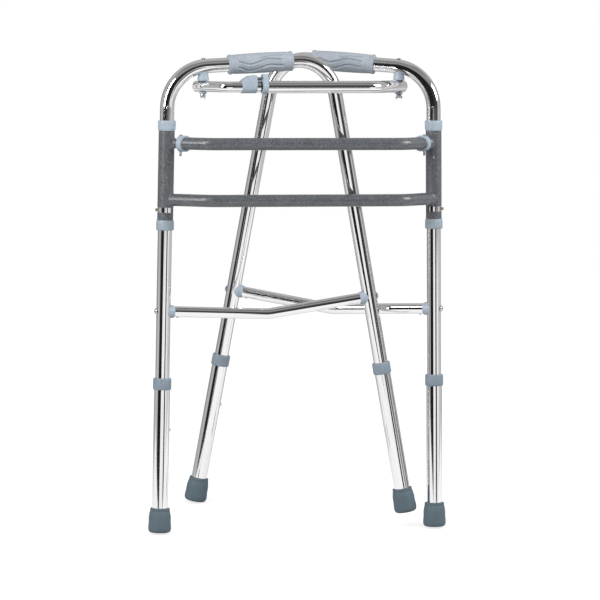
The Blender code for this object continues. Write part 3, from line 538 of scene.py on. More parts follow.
def pie(angle_from, angle_to, radius, low, high):
    """A thick slice round Z, as a cutter."""
    work = bmesh.new()
    centre = work.verts.new((0, 0, low))
    rim = work.verts.new(polar(radius, angle_from, low))
    bmesh.ops.spin(work, geom=[rim], cent=(0, 0, 0), axis=(0, 0, 1), angle=angle_to - angle_from, steps=24)
    curve = sorted((v for v in work.verts if v is not centre),
                   key=lambda v: (atan2(v.co.y, v.co.x) - angle_from + 0.01) % (2 * pi))
    face = work.faces.new([centre] + curve)
    bmesh.ops.delete(work, geom=[e for e in work.edges if not e.link_faces], context='EDGES')
    thicken(work, face, high - low)
    return work


def bar_heading(sign):
    """Level direction from the middle of a bar's bend to its sleeve: sign +1 for the one at +X."""
    return Vector((sign * cos(BAR_TURN), sin(BAR_TURN), 0))


def bar_seat(side, height):
    """Sleeve space from a space whose Z runs out along a bar's end and whose Y follows the sleeve."""
    out = -bar_heading(-INWARD[side])
    up = Vector((0, 0, 1))
    return Matrix.Translation((0, 0, height)) @ Matrix((up.cross(out), up, out)).transposed().to_4x4()


def on_sleeve(radius, angle):
    """How far out a line lies on the sleeve, at a radius and angle round the bar."""
    return (SLEEVE_R ** 2 - (radius * cos(angle)) ** 2) ** 0.5


def weld_bead(bar_radius, size):
    """Rippled fillet of weld between a bar and the sleeve that it leaves."""
    work = bmesh.new()
    rings = [bmesh.ops.create_circle(work, cap_ends=False, segments=96, radius=bar_radius)["verts"]]
    first = edges = list({e for v in rings[0] for e in v.link_edges})
    shares = [i / 6 for i in range(7)] + [2.0, 3.0]
    for _ in shares[1:]:
        grown = bmesh.ops.extrude_edge_only(work, edges=edges)
        rings.append(new_verts(grown))
        edges = far_edges(grown, rings[-1])
    for share, ring in zip(shares, rings):
        for vertex in ring:
            angle = atan2(vertex.co.y, vertex.co.x)
            if share <= 1:
                radius = bar_radius - 0.0002 + size * (1 - sin(share * pi / 2))
                radius += 0.00025 * sin(18 * angle) * sin(share * pi)
                lift = size * 1.5 * (1 - cos(share * pi / 2)) - 0.0003
            else:
                radius = bar_radius - 0.0009
                lift = size * 1.5 - 0.0003 if share == 2 else -0.0006
            vertex.co = polar(radius, angle, on_sleeve(radius, angle) + lift)
    bmesh.ops.bridge_loops(work, edges=first + edges)
    outward(work)
    return work


def make_sleeve(side, place):
    pin = FOLD[side] + INWARD[side] * PIN_ANGLE
    back, ahead = pin - INWARD[side] * SLOT_BACK, pin + INWARD[side] * SLOT_AHEAD[side]
    shell = pipe(SLEEVE_R, SLEEVE_WALL, SLEEVE_FOOT, SLEEVE_TOP)
    slot = pie(min(back, ahead), max(back, ahead), 2 * SLEEVE_R, SLOT_HEIGHT - SLOT_HALF,
               SLOT_HEIGHT + SLOT_HALF)
    rivet = rod(RIVET_HOLE_R, (0, 0, RIVET_HOLE_HEIGHT),
                polar(2 * SLEEVE_R, RIVET_HOLE_TURN, RIVET_HOLE_HEIGHT), 20)
    keep(f"{side}_sleeve_shell", carved(shell, joined(slot, rivet)), place, ENAMEL, "cross_frame",
         [f"{side}_sleeve"])

    for level, end, up in (("upper", SLEEVE_TOP, 1), ("lower", SLEEVE_FOOT, -1)):
        lip, mouth = end + up * BUSH_LIP, end - up * (BUSH_LENGTH - BUSH_LIP)
        profile = [*steps_from(LEG_R, lip, (0.0003, -0.0006), (0.0008, 0), up=up),
                   *steps_from(BUSH_R, lip, (-0.0018, 0), (-0.0007, -0.0004), (-0.0001, -0.0014),
                               (0, -0.003), up=up),
                   *steps_from(BUSH_R, mouth, (0, 0.0055), (-0.0002, 0.0035), (-0.0006, 0.0016),
                               (-0.0010, 0.0004), up=up),
                   *steps_from(SLEEVE_R, mouth, (0.0005, 0), (0.0001, 0.0012), up=up),
                   (SLEEVE_R + 0.0001, end), (LEG_R + 0.0003, end)]
        # The lower bush takes the darker nylon, which is painted shade on the one blue-grey plastic
        keep(f"{side}_{level}_bush_cap", turned(profile, closed=True, steps=64), place,
             NYLON if level == "upper" else SHADED_BUSH_NYLON, "cross_frame", [f"{side}_{level}_bush"], 40)


def make_bar_joint(side, place):
    """What carries the upper bar on its sleeve: stub, weld, plastic collar and pin."""
    seat = place @ bar_seat(side, UPPER_BAR / cos(SPLAY))
    stub = turned([(0, 0), (STUB_R, 0), (STUB_R, STUB_REACH - 0.0006), (STUB_R - 0.0006, STUB_REACH),
                   (0, STUB_REACH)], steps=48)
    bmesh.ops.delete(stub, geom=[v for v in stub.verts if v.co.z < 0.001 and v.co.xy.length < STUB_R / 2],
                     context='VERTS')
    for vertex in stub.verts:
        if vertex.co.z < 0.001:
            vertex.co.z = (SLEEVE_R ** 2 - vertex.co.x ** 2) ** 0.5 - 0.0006
    keep(f"{side}_stub", stub, seat, ENAMEL, "cross_frame")
    keep(f"{side}_stub_weld", weld_bead(STUB_R, STUB_WELD), seat, ENAMEL, "cross_frame")

    start, end = BLOCK_START, BLOCK_START + BLOCK_LENGTH + COLLAR_OVERRUN
    outside = [*steps_from(BLOCK_R, start, (-0.0034, 0), (-0.0016, 0.0006), (-0.0004, 0.0020), (0, 0.0042)),
               *steps_from(BLOCK_R, end, (0, -0.0030), (-0.0003, -0.0014), (-0.0010, -0.0003), (-0.0016, 0))]
    mouth = steps_from(BAR_R, end, (0.0010, 0), (0.0005, -0.0006), (0.0004, -0.0028))
    collar = turned([(STUB_R + 0.0002, start), *outside, *mouth, (BAR_R + 0.0002, start + 0.010),
                     (STUB_R + 0.0002, start + 0.0095)], closed=True, steps=64)
    sliced(collar, (0, 0, MOUTH_MIDDLE), (-INWARD[side] * MOUTH_SLANT, 0, 1))
    keep(f"{side}_bar_collar", collar, seat, NYLON, "cross_frame", [f"{side}_bar_block"], 42)

    tip, neck, head = -BLOCK_R - BAR_PIN_DROP, BLOCK_R + GAP, BLOCK_R + 0.0016
    pin = turned([*steps_from(0, head, (0, 0), (0.0018, -0.0001), (0.0030, -0.0005)),
                  (0.0034, neck + 0.0003), (0.0033, neck), (BAR_PIN_R, neck),
                  *steps_from(BAR_PIN_R, tip, (0, 0.0034), (-0.0005, 0.0030), (-0.0005, 0.0022), (0, 0.0018),
                              (0, 0.0008), (-0.0007, 0)), (0, tip)], steps=32)
    out = -bar_heading(-INWARD[side]) * (BLOCK_START + STUB_REACH) / 2
    keep(f"{side}_turned_bar_pin", pin, place @ shift(out.x, out.y, UPPER_BAR / cos(SPLAY)), ZINC,
         "cross_frame", [f"{side}_bar_pin"], 40)


def make_cross_frame():
    for side in INWARD:
        make_sleeve(side, SLEEVE[side])
        make_bar_joint(side, SLEEVE[side])
        keep(f"{side}_lower_weld", weld_bead(BAR_R, LOWER_WELD),
             SLEEVE[side] @ bar_seat(side, LOWER_BAR / cos(SPLAY)), ENAMEL, "cross_frame")
    flip = Vector((-1, 1, 1))
    bars = (("upper", UPPER_BAR_SETBACK, UPPER_BAR), ("lower", SLEEVE_R / 2, LOWER_BAR))
    for name, setback, height in bars:
        sleeve_x = FOOT_WIDTH / 2 - height * tan(SPLAY)
        end = Vector((sleeve_x, 0, height)) - bar_heading(1) * setback
        corner = Vector((sleeve_x - BAR_SWEEP, -BAR_BOW, height))
        bar = bent_tube([end * flip, corner * flip, corner, end], [BAR_BEND] * 2, BAR_R, BAR_WALL, 56)
        if name == "lower":
            local = {side: BASE.inverted() @ SLEEVE[side] for side in INWARD}
            bar = carved(bar, joined(*(rod(SLEEVE_R - 0.0004, local[side] @ Vector((0, 0, SLEEVE_FOOT)),
                                           local[side] @ Vector((0, 0, SLEEVE_TOP)), 64) for side in INWARD)))
        keep(f"{name}_bar", bar, BASE, ENAMEL, "cross_frame", [f"{name}_crossbar"])


def smooth_step(share):
    share = max(0.0, min(1.0, share))
    return share * share * (3 - 2 * share)


def grip_radius(along):
    """Outer radius of the grip: crowned, with a rolled rim at both ends."""
    share = min(1.0, abs(2 * along / GRIP_LENGTH))
    body = LEG_R + GRIP_WALL + GRIP_CROWN * (1 - share ** 2)
    rim = GRIP_RIM * smooth_step((share - 0.89) / 0.05)
    return body + rim - 0.0020 * max(0.0, (share - 0.975) / 0.025) ** 2


# Waves pressed into each face of the grip: (share along it, degrees from its top)
GRIP_WAVES = (((0.13, 74), (0.31, 95), (0.61, 67), (0.83, 74)),
              ((0.13, 110), (0.31, 136), (0.63, 103), (0.83, 112)),
              ((0.47, 60), (0.65, 43), (0.83, 43)))


def wave_angle(wave, share):
    for (start, low), (end, high) in zip(wave, wave[1:]):
        if share <= end:
            return radians(low + (high - low) * smooth_step((share - start) / (end - start)))
    return radians(wave[-1][1])


def make_grip(side):
    """Moulded grip, its waved grooves pressed into a fine grid of faces."""
    count = 200
    places = [GRIP_LENGTH * (i / count - 0.5) for i in range(count + 1)]
    work = spun([(grip_radius(along), along) for along in places], steps=180)
    for vertex in work.verts:
        radius = Vector(vertex.co.xy).length
        angle = abs(atan2(vertex.co.y, -vertex.co.x))
        share = 0.5 + INWARD[side] * vertex.co.z / GRIP_LENGTH
        sink = 0.0
        for wave in GRIP_WAVES:
            fade = smooth_step((share - wave[0][0] + 0.02) / 0.05)
            fade *= smooth_step((wave[-1][0] + 0.02 - share) / 0.05)
            gap = (angle - wave_angle(wave, share)) * radius
            groove = GROOVE_DEPTH * exp(-(gap / GROOVE_HALF) ** 2)
            bank = BANK_HEIGHT * exp(-((gap - BANK_AT) / BANK_HALF) ** 2)
            sink += fade * (groove - bank)
        vertex.co.xy *= (radius - sink) / radius
    grown = bmesh.ops.extrude_edge_only(work, edges=open_edges(work))
    for vertex in new_verts(grown):
        vertex.co.xy *= (LEG_R + 0.0001) / Vector(vertex.co.xy).length
    outward(work)
    keep(f"{side}_moulded_grip", work, SIDE[side] @ shift(GRIP_MIDDLE, 0, TOP_HEIGHT) @ turn('Y', pi / 2),
         VINYL, f"{side}_side_frame", [f"{side}_grip"], 50)


def along_brace(leg, middle):
    """Side frame space from a space whose Z runs from a leg's axis along its half of the brace."""
    way = (middle - leg).normalized()
    across = Vector((0, 1, 0))
    return Matrix.Translation(leg) @ Matrix((across.cross(way), across, way)).transposed().to_4x4()


def make_brace(side, body):
    front, rear = front_leg(BRACE_HEIGHT), rear_leg(BRACE_HEIGHT)
    middle = (front + rear) / 2 - Vector((0, 0, BRACE_SAG))
    away = LEG_R + GAP
    shoulder = away + SADDLE_LENGTH
    ends = []
    for place, leg, lean, cap in (("front", front, FRONT_LEAN, ZINC), ("rear", rear, -REAR_LEAN, NYLON)):
        ends.append(leg + (middle - leg).normalized() * shoulder)
        seat = along_brace(leg, middle)
        saddle = turned([(0, 0.003), (SADDLE_R + 0.0010, 0.003),
                         *steps_from(SADDLE_R, away, (0.0010, -0.002), (0.0006, 0.0015), (0, 0.0050)),
                         *steps_from(SADDLE_R, shoulder, (0, -0.0014), (-0.0005, -0.0004), (-0.0013, 0)),
                         (0, shoulder)], steps=56)
        axis = Vector((sin(lean), 0, cos(lean))) * 0.05
        local = seat.inverted()
        saddle = carved(saddle, rod(LEG_R + 0.0002, local @ (leg - axis), local @ (leg + axis), 72))
        keep(f"{side}_{place}_saddle_shell", saddle, SIDE[side] @ seat, NYLON, body,
             [f"{side}_{place}_saddle"], 40)
        tip = shoulder + 0.012
        bolt = turned([*steps_from(0, -away, (0, -0.0034), (0.0014, -0.0033), (0.0030, -0.0030),
                                   (0.0044, -0.0022), (0.0053, -0.0010), (0.0056, -0.0002), (0.0055, 0.0002),
                                   (BRACE_BOLT_R, 0.0002)), (BRACE_BOLT_R, tip), (0, tip)], steps=40)
        keep(f"{side}_{place}_bolt", bolt, SIDE[side] @ seat, cap, body, [f"{side}_{place}_brace_bolt"], 50)
        screw = turned([(0, 0.0018), (0.0012, 0.0017), (0.0021, 0.0011), (0.0024, 0.0), (0.0012, -0.0002),
                        (0.0012, -0.0030), (0, -0.0030)], steps=24)
        below = seat @ shift(-BRACE_R, 0, shoulder + 0.006) @ turn('Y', -pi / 2)
        if (below.to_3x3() @ Vector((0, 0, 1))).z > 0:
            below = seat @ shift(BRACE_R, 0, shoulder + 0.006) @ turn('Y', pi / 2)
        keep(f"{side}_{place}_brace_screw", screw, SIDE[side] @ below, ZINC, body, (), 50)
    brace = bent_tube([ends[0], middle, ends[1]], [BRACE_BEND], BRACE_R, BRACE_WALL, 48)
    keep(f"{side}_kinked_brace", brace, SIDE[side], CHROME, body, [f"{side}_brace"])


def arch_height(reach):
    """Height of the frame tube's middle over the start of its front bend, in hinge space."""
    corner = TOP_HEIGHT / cos(FRONT_LEAN)
    start = corner - FRONT_BEND * tan((pi / 2 - FRONT_LEAN) / 2)
    return start + (FRONT_BEND ** 2 - (FRONT_BEND - reach) ** 2) ** 0.5


def make_link_mount(side, corners, link_r):
    """Spacer under the top tube, and the bolt, washer, nut and split pin that hold the link to it."""
    body = f"{side}_side_frame"
    pivot = HINGE[side] @ shift(PIVOT_REACH, 0, LINK_HEIGHT)
    low, high = link_r + GAP, arch_height(PIVOT_REACH) - LINK_HEIGHT
    spacer = turned([(0, high), (SPACER_R - 0.0010, high),
                     *steps_from(SPACER_R, low, (-0.0010, 0.0075), (-0.0006, 0.0066), (0, 0.0058),
                                 (0, 0.0008), (-0.0008, 0)), (0, low)], steps=56)
    bow = bent_tube(corners, [FRONT_BEND, REAR_BEND], LEG_R + 0.0002, 0, 64)
    move(bow, pivot.inverted() @ SIDE[side])
    keep(f"{side}_moulded_spacer", carved(spacer, bow), pivot, NYLON, body, [f"{side}_link_spacer"], 40)

    seat = high + LEG_R + HEAD_REST
    end = -(link_r + WASHER_HEIGHT + NUT_HEIGHT + 0.0024)
    head = seat + LINK_HEAD_HEIGHT
    bolt = turned([*steps_from(0, head, (0, 0), (0.0014, -0.0001), (0.0028, -0.0005), (0.0038, -0.0011)),
                   *steps_from(LINK_HEAD_R, seat, (0, 0.0003), (-0.0001, 0)), (LINK_BOLT_R, seat),
                   *steps_from(LINK_BOLT_R, end, (0, 0.0006), (-0.0006, 0)), (0, end)], steps=40)
    keep(f"{side}_link_bolt_turned", bolt, pivot, ZINC, body, [f"{side}_link_bolt"], 50)

    top = -(link_r + GAP)
    foot = top - WASHER_HEIGHT
    hole = LINK_BOLT_R + GAP
    washer = turned([(hole, top), *steps_from(WASHER_R, top, (-0.0006, 0), (0, -0.0006)),
                     *steps_from(WASHER_R, foot, (0, 0.0008), (-0.0008, 0)), (hole, foot)],
                    closed=True, steps=48)
    keep(f"{side}_moulded_washer", washer, pivot, NYLON, body, [f"{side}_link_washer"], 40)
    top = foot - GAP
    nut = bmesh.new()
    bmesh.ops.create_cone(nut, cap_ends=True, segments=6, radius1=NUT_R, radius2=NUT_R, depth=NUT_HEIGHT,
                          matrix=shift(0, 0, top - NUT_HEIGHT / 2))
    soften(nut, 0.0006)
    keep(f"{side}_hex_nut", nut, pivot, ZINC, body, [f"{side}_link_nut"])
    level = top - NUT_HEIGHT - 0.0008
    wire = bent_tube([(-0.0062, -0.0012, level + 0.0022), (-0.0058, 0, level), (0.0044, 0, level),
                      (0.0060, 0.0006, level - 0.0030)], [0.0015, 0.0018], 0.0007, 0, 12)
    leg = bent_tube([(-0.0046, 0.0016, level - 0.0026), (-0.0040, 0, level - 0.0002),
                     (0.0046, 0, level - 0.0002), (0.0066, -0.0006, level + 0.0012)],
                    [0.0012, 0.0012], 0.0006, 0, 12)
    keep(f"{side}_split_pin", joined(wire, leg), pivot @ turn('Z', radians(35)), ZINC, body, (), 50)


def make_slot_pin(side):
    """Brass pin through the leg that runs in the sleeve's slot."""
    shoulder = SLEEVE_R + 0.0012
    inner = LEG_R - LEG_WALL - 0.001
    pin = turned([(0, PIN_REACH), (PIN_R * 0.55, PIN_REACH - 0.0001), (PIN_R, PIN_REACH - 0.0005),
                  (PIN_R * 1.25, PIN_REACH - 0.0014), (PIN_R * 1.25, shoulder + 0.0008),
                  (PIN_R * 1.1, shoulder), (PIN_R, shoulder), (PIN_R, inner), (0, inner)], steps=36)
    seat = facing((0, 0, SLOT_HEIGHT), polar(1, INWARD[side] * PIN_ANGLE))
    keep(f"{side}_turned_slot_pin", pin, HINGE[side] @ seat, BRASS, f"{side}_side_frame",
         [f"{side}_slot_pin"], 50)


def make_side_frame(side):
    body = f"{side}_side_frame"
    corners = [front_leg(LEG_END), front_leg(TOP_HEIGHT), rear_leg(TOP_HEIGHT), rear_leg(LEG_END)]
    bow = bent_tube(corners, [FRONT_BEND, REAR_BEND], LEG_R, LEG_WALL, 96)
    tool = turned([(0, 0), (MARK_HOLE_R, 0), (MARK_HOLE_R, LEG_R - 0.0007), (MARK_SINK_R, LEG_R + 0.0001),
                   (MARK_SINK_R, 2 * LEG_R), (0, 2 * LEG_R)], steps=32)
    move(tool, turn('Y', FRONT_LEAN) @ facing((0, 0, MARK_HOLE_HEIGHT), polar(1, -MARK_TURN * INWARD[side])))
    keep(f"{side}_bent_tube", carved(bow, tool), SIDE[side], CHROME, body, [f"{side}_frame_tube"])
    make_grip(side)
    make_brace(side, body)
    make_link_mount(side, corners, INNER_R if side == "left" else OUTER_R)
    make_slot_pin(side)


def make_snap_button(corner, place, look):
    """Domed button in its hole, and the bent spring strip behind it."""
    body = f"{corner}_button"
    seat = place @ shift(0, 0, BUTTON_HEIGHT) @ turn('Z', look)
    out = LOWER_R + BUTTON_PROUD
    near = CLIP_REACH - CLIP_THICK
    dome = turned([(0, out), (BUTTON_R * 0.35, out - 0.0001), (BUTTON_R * 0.66, out - 0.0005),
                   (BUTTON_R * 0.88, out - 0.0012), (BUTTON_R * 0.98, out - 0.0021), (BUTTON_R, out - 0.0030),
                   (BUTTON_R, near + 0.0004), (0, near + 0.0004)], steps=32)
    keep(f"{corner}_button_dome", dome, seat @ turn('Y', pi / 2), ZINC, body, [f"{corner}_snap_button"], 50)
    top, knee, foot = CLIP_LEGS
    bend = 0.6 * CLIP_REACH
    inside = [(near, top), (near, knee), (bend - CLIP_THICK, foot + CLIP_THICK),
              (CLIP_THICK - bend, foot + CLIP_THICK), (-near, knee), (-near, 0)]
    outside = [(-CLIP_REACH, 0), (-CLIP_REACH, knee), (-bend, foot), (bend, foot), (CLIP_REACH, knee)]
    line = [(CLIP_REACH, top), *inside, *outside]
    strip = slab(line, -CLIP_HALF, CLIP_HALF, turn('X', pi / 2))
    soften(strip, 0.0003, segments=2)
    spring = keep(f"{corner}_spring_strip", strip, seat, ZINC, f"{corner}_lower_leg")
    tuple(seat.to_3x3() @ Vector((1, 0, 0)))
    tuple(seat @ Vector((-CLIP_REACH, 0, 0)))
    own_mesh(spring)


def make_lower_leg(corner):
    body = f"{corner}_lower_leg"
    place = LEG[corner]
    look = BUTTON_TURN[corner]
    shell = pipe(LOWER_R, LOWER_WALL, LOWER_FOOT, LOWER_TOP)
    levels = [BUTTON_HEIGHT - i * HOLE_PITCH for i in range(HOLE_COUNT)]
    holes = [rod(BUTTON_R + GAP, polar(0, look, z), polar(2 * LOWER_R, look, z)) for z in levels]
    keep(f"{corner}_outer_tube", carved(shell, joined(*holes)), place, CHROME, body, [f"{corner}_lower_tube"])

    foot = COLLAR_TOP - COLLAR_LENGTH
    collar = turned([*steps_from(LEG_R, COLLAR_TOP, (0.0003, -0.0008), (0.0009, -0.0001)),
                     *steps_from(COLLAR_R, COLLAR_TOP, (-0.0024, 0), (-0.0011, -0.0004), (-0.0003, -0.0012),
                                 (0, -0.0026)),
                     *steps_from(COLLAR_R, foot, (0, 0.0024), (-0.0003, 0.0012), (-0.0010, 0.0003),
                                 (-0.0016, 0)),
                     *steps_from(LOWER_R, foot, (0.0005, 0), (0.0001, 0.0008)),
                     (LOWER_R + 0.0001, LOWER_TOP + 0.0002), (LEG_R + 0.0003, LOWER_TOP + 0.0002)],
                    closed=True, steps=64)
    # The collar's darker nylon is painted shade on the one blue-grey plastic
    keep(f"{corner}_clamp_collar", collar, place, SHADED_COLLAR_NYLON, body, [f"{corner}_collar"], 42)

    waist = (TIP_MOUTH_R + TIP_SOLE_R) / 2 + 0.0009
    cup = LOWER_FOOT - GAP
    mouth = steps_from(TIP_MOUTH_R, TIP_HEIGHT, (-0.0008, 0), (0.0001, -0.0007), (0.0003, -0.0016),
                       (0.0005, -0.0038), (0.0001, -0.0045), (0.0003, -0.0053), (0.0008, -0.0060))
    wall = [(waist, TIP_HEIGHT * 0.64), (TIP_SOLE_R - 0.0007, TIP_HEIGHT * 0.42),
            (TIP_SOLE_R - 0.0001, TIP_HEIGHT * 0.28), (TIP_SOLE_R, TIP_HEIGHT * 0.18)]
    sole = steps_from(TIP_SOLE_R, 0, (-0.0002, 0.0052), (-0.0009, 0.0032), (-0.0020, 0.0014),
                      (-0.0034, 0.0004), (-0.0048, 0.0))
    tip = turned([(0, cup), (LOWER_R + 0.0001, cup), (LOWER_R + 0.0001, TIP_HEIGHT - 0.0012),
                  (LOWER_R + 0.0009, TIP_HEIGHT), *mouth, *wall, *sole, (0.0136, 0.0), (0.0126, 0.0009),
                  (0.0112, 0.0026), (0.0100, 0.0028), (0, 0.0028)], steps=72)
    keep(f"{corner}_rubber_ferrule", tip, place, RUBBER, body, [f"{corner}_tip"], 50)
    make_snap_button(corner, place, look)


# Sets an end view along the link
LENGTHWISE = Matrix(((0, 0, 1, 0), (1, 0, 0, 0), (0, 1, 0, 0), (0, 0, 0, 1)))


def arc(radius, start, end, count):
    """Points of an arc, between two angles in degrees."""
    return [polar(radius, radians(start + (end - start) * i / count)).xy for i in range(count + 1)]


def make_latch(place):
    """Wedge-shaped sliding latch on the inner tube, with two prongs that reach for the ring."""
    front = RING_AT - PRONG_GAP
    back = front - LATCH_LENGTH
    root, tip = front - PRONG_ROOT, RING_AT - RING_FORWARD - GAP
    roof = [(0.97, 0.6), (0.80, 2.0), (-0.80, 2.0), (-0.97, 0.6)]
    end_view = arc(LATCH_R, 180, 360, 24) + [(LATCH_R * x, LATCH_R * y) for x, y in roof]
    latch = slab(end_view, back, front, LENGTHWISE)
    rise = LATCH_FRONT_HEIGHT - LATCH_BACK_HEIGHT
    sliced(latch, (0, 0, LATCH_FRONT_HEIGHT), (0, 0, 1))
    for reach, share, rate in LATCH_TOP:
        sliced(latch, (back + reach, 0, LATCH_BACK_HEIGHT + rise * share), (-rate, 0, 1))
    soften(latch, 0.0009, radians(24), 3)
    half = PRONG_THICK / 2
    prongs = [slab(oblong(root, tip, PRONG_HALF), height - half, height + half) for height in PRONG_HEIGHTS]
    web = slab([(root, 0.0), (tip, 0.0), (tip, WEB_THICK), (root, WEB_THICK)], INNER_R + GAP,
               PRONG_HEIGHTS[1] + half)
    latch = carved(carved(latch, joined(*prongs), 'UNION'), web, 'UNION')
    latch = carved(latch, rod(INNER_R + GAP, (back - 0.01, 0, 0), (front + 0.03, 0, 0), 64))
    keep("link_latch_moulded", latch, place @ shift(0, -LINK_SETFORWARD, 0), NYLON, "link_latch",
         ["link_latch"], 40)


def make_ring(place, span):
    """Ring on the mouth of the outer tube, with the lug that the latch's prongs meet."""
    start = RING_AT - RING_FORWARD - span
    lug = [(LUG_HALF, LUG_HEIGHT - 0.003), (LUG_HALF - 0.0009, LUG_HEIGHT - 0.0009),
           (LUG_HALF - 0.003, LUG_HEIGHT)]
    outline = arc(RING_R, -210, 30, 36) + lug + [(-x, y) for x, y in reversed(lug)]
    ring = slab(outline, start, start + RING_LENGTH + RING_FORWARD, LENGTHWISE)
    soften(ring, 0.0008, radians(40), 3)
    half = PRONG_THICK / 2 + 0.0004
    pocket = slab(oblong(start - 0.005, start + 0.0025, PRONG_HALF + 0.0005), PRONG_HEIGHTS[1] - half,
                  PRONG_HEIGHTS[1] + half)
    seat = rod(OUTER_R + 0.0001, (start + 0.0015, 0, 0), (start + 0.05, 0, 0), 64)
    ring = carved(ring, joined(seat, pocket))
    bore = rod(1.0, (start - 0.05, 0, 0), (start + 0.05, 0, 0), 64)
    for vertex in bore.verts:
        vertex.co.y *= SWAGE_HALF[0] + SWAGE_PLAY
        vertex.co.z *= SWAGE_HALF[1] + SWAGE_PLAY
    keep("link_ring_moulded", carved(ring, bore), place @ shift(0, -LINK_SETFORWARD, 0), NYLON,
         "link_outer_arm", ["link_ring"], 40)


def make_link():
    """The telescopic link: an inner arm on the left pivot, an outer arm on the right one."""
    pivots = {side: HINGE[side] @ Vector((PIVOT_REACH, 0, LINK_HEIGHT)) for side in INWARD}
    local = {side: BASE.inverted() @ pivots[side] for side in INWARD}
    run = local["right"] - local["left"]
    span = run.length
    heading = turn('Z', atan2(run.y, run.x) + LINK_TOE) @ turn('Y', -asin(run.z / span))
    place = {side: BASE @ Matrix.Translation(local[side]) @ heading for side in INWARD}
    halves = (("left", "link_inner_arm", "link_inner_tube", INNER_R, INNER_LENGTH, 1, INNER_TURN, INNER_BEND),
              ("right", "link_outer_arm", "link_outer_tube", OUTER_R, span - OUTER_START, -1, OUTER_TURN,
               OUTER_BEND))
    for side, body, node, radius, length, sign, bent_at, bend in halves:
        corners = [(-sign * LINK_TAIL, LINK_SETFORWARD * LINK_TAIL / bent_at, 0),
                   (sign * bent_at, -LINK_SETFORWARD, 0), (sign * length, -LINK_SETFORWARD, 0)]
        bends = [bend]
        if sign > 0:
            corners[2:2] = [(SWAGE_START + step, -LINK_SETFORWARD, 0) for step in (0, SWAGE_LENGTH)]
            bends += [0, 0]
        work = bent_tube(corners, bends, radius, LINK_WALL, 80)
        if sign > 0:
            for vertex in work.verts:
                if vertex.co.x > SWAGE_START + 0.001:
                    vertex.co.y = (vertex.co.y + LINK_SETFORWARD) * SWAGE_HALF[0] / INNER_R - LINK_SETFORWARD
                    vertex.co.z *= SWAGE_HALF[1] / INNER_R
        work = carved(work, rod(LINK_BOLT_R + BOLT_PLAY, (0, 0, -0.03), (0, 0, 0.03), 32))
        keep(f"{node}_bent", work, place[side], CHROME, body, [node])
    make_latch(place["left"])
    make_ring(place["right"], span)


make_cross_frame()
for side in INWARD:
    make_side_frame(side)
for corner in CARRIED_BY:
    make_lower_leg(corner)
make_link()

LOOK_OF = {slot: look for look, slot in SLOT_OF.items()}
for part in frame["record"]["subparts"]:
    node = frame["nodes"][part["node"]]
    node = bpy.data.objects[node] if isinstance(node, str) else node
    for slot in node.material_slots:
        slot.material = LOOK_OF[part["material_slot"]]


# The floor: its own grey, and what lifts it to white, as seen and as mirrored, less behind the walker
FLOOR_RADIUS, FLOOR_GREY, FLOOR_GLOW, FLOOR_MIRRORED, FLOOR_FADE = 2.0, 0.35, 0.73, 0.62, 0.55


def make_floor():
    """Plain pale floor that lifts itself to the white of the surroundings, and keeps its shadow."""
    work = bmesh.new()
    bmesh.ops.create_circle(work, cap_ends=True, segments=64, radius=FLOOR_RADIUS)
    mesh = mesh_from("floor", work)
    floor = in_scene("floor", mesh)
    paper = Finish("floor_paper", Roughness=0.9, Specular_IOR_Level=0.0,
                   Base_Color=(FLOOR_GREY, FLOOR_GREY, FLOOR_GREY, 1), Emission_Color=(1, 1, 1, 1))
    camera, glossy, through = paper.rays()
    behind = paper.parts(paper.place)[1].between(0.0, 0.6)
    glow = (camera + through) * FLOOR_GLOW + glossy * (FLOOR_MIRRORED - behind * FLOOR_FADE)
    paper.set(paper.shader, {"Emission_Strength": glow})
    mesh.materials.append(paper.material)


# What the plating mirrors at the height of the legs, and just above it:
# (degrees from the front, brightness)
AT_LEGS = ((-180, 0.27), (-128, 0.27), (-120, 0.58), (-76, 0.50), (-71, 0.01), (-27, 0.01), (-24, 1.0),
           (48, 1.0), (60, 0.70), (85, 0.58), (150, 0.50), (180, 0.30))
ABOVE_LEGS = ((-180, 0.30), (-128, 0.30), (-120, 0.50), (-82, 0.50), (-76, 0.012), (-10, 0.012), (10, 0.045),
              (50, 0.05), (62, 0.60), (110, 0.45), (180, 0.30))
# and overhead: (sine of the elevation, brightness)
OVERHEAD = ((0.0, 0.05), (0.45, 0.07), (0.57, 0.24), (0.72, 0.34), (0.86, 0.24), (0.94, 0.22), (1.0, 0.50))
BACK_CEILING = (0.50, 0.50, 0.50, 1)
# Elevations between which one gives way to the next, as sines
ABOVE_LEGS_STARTS = (sin(radians(-3.4)), sin(radians(-1.8)))
OVERHEAD_STARTS = (sin(radians(24)), sin(radians(31)))


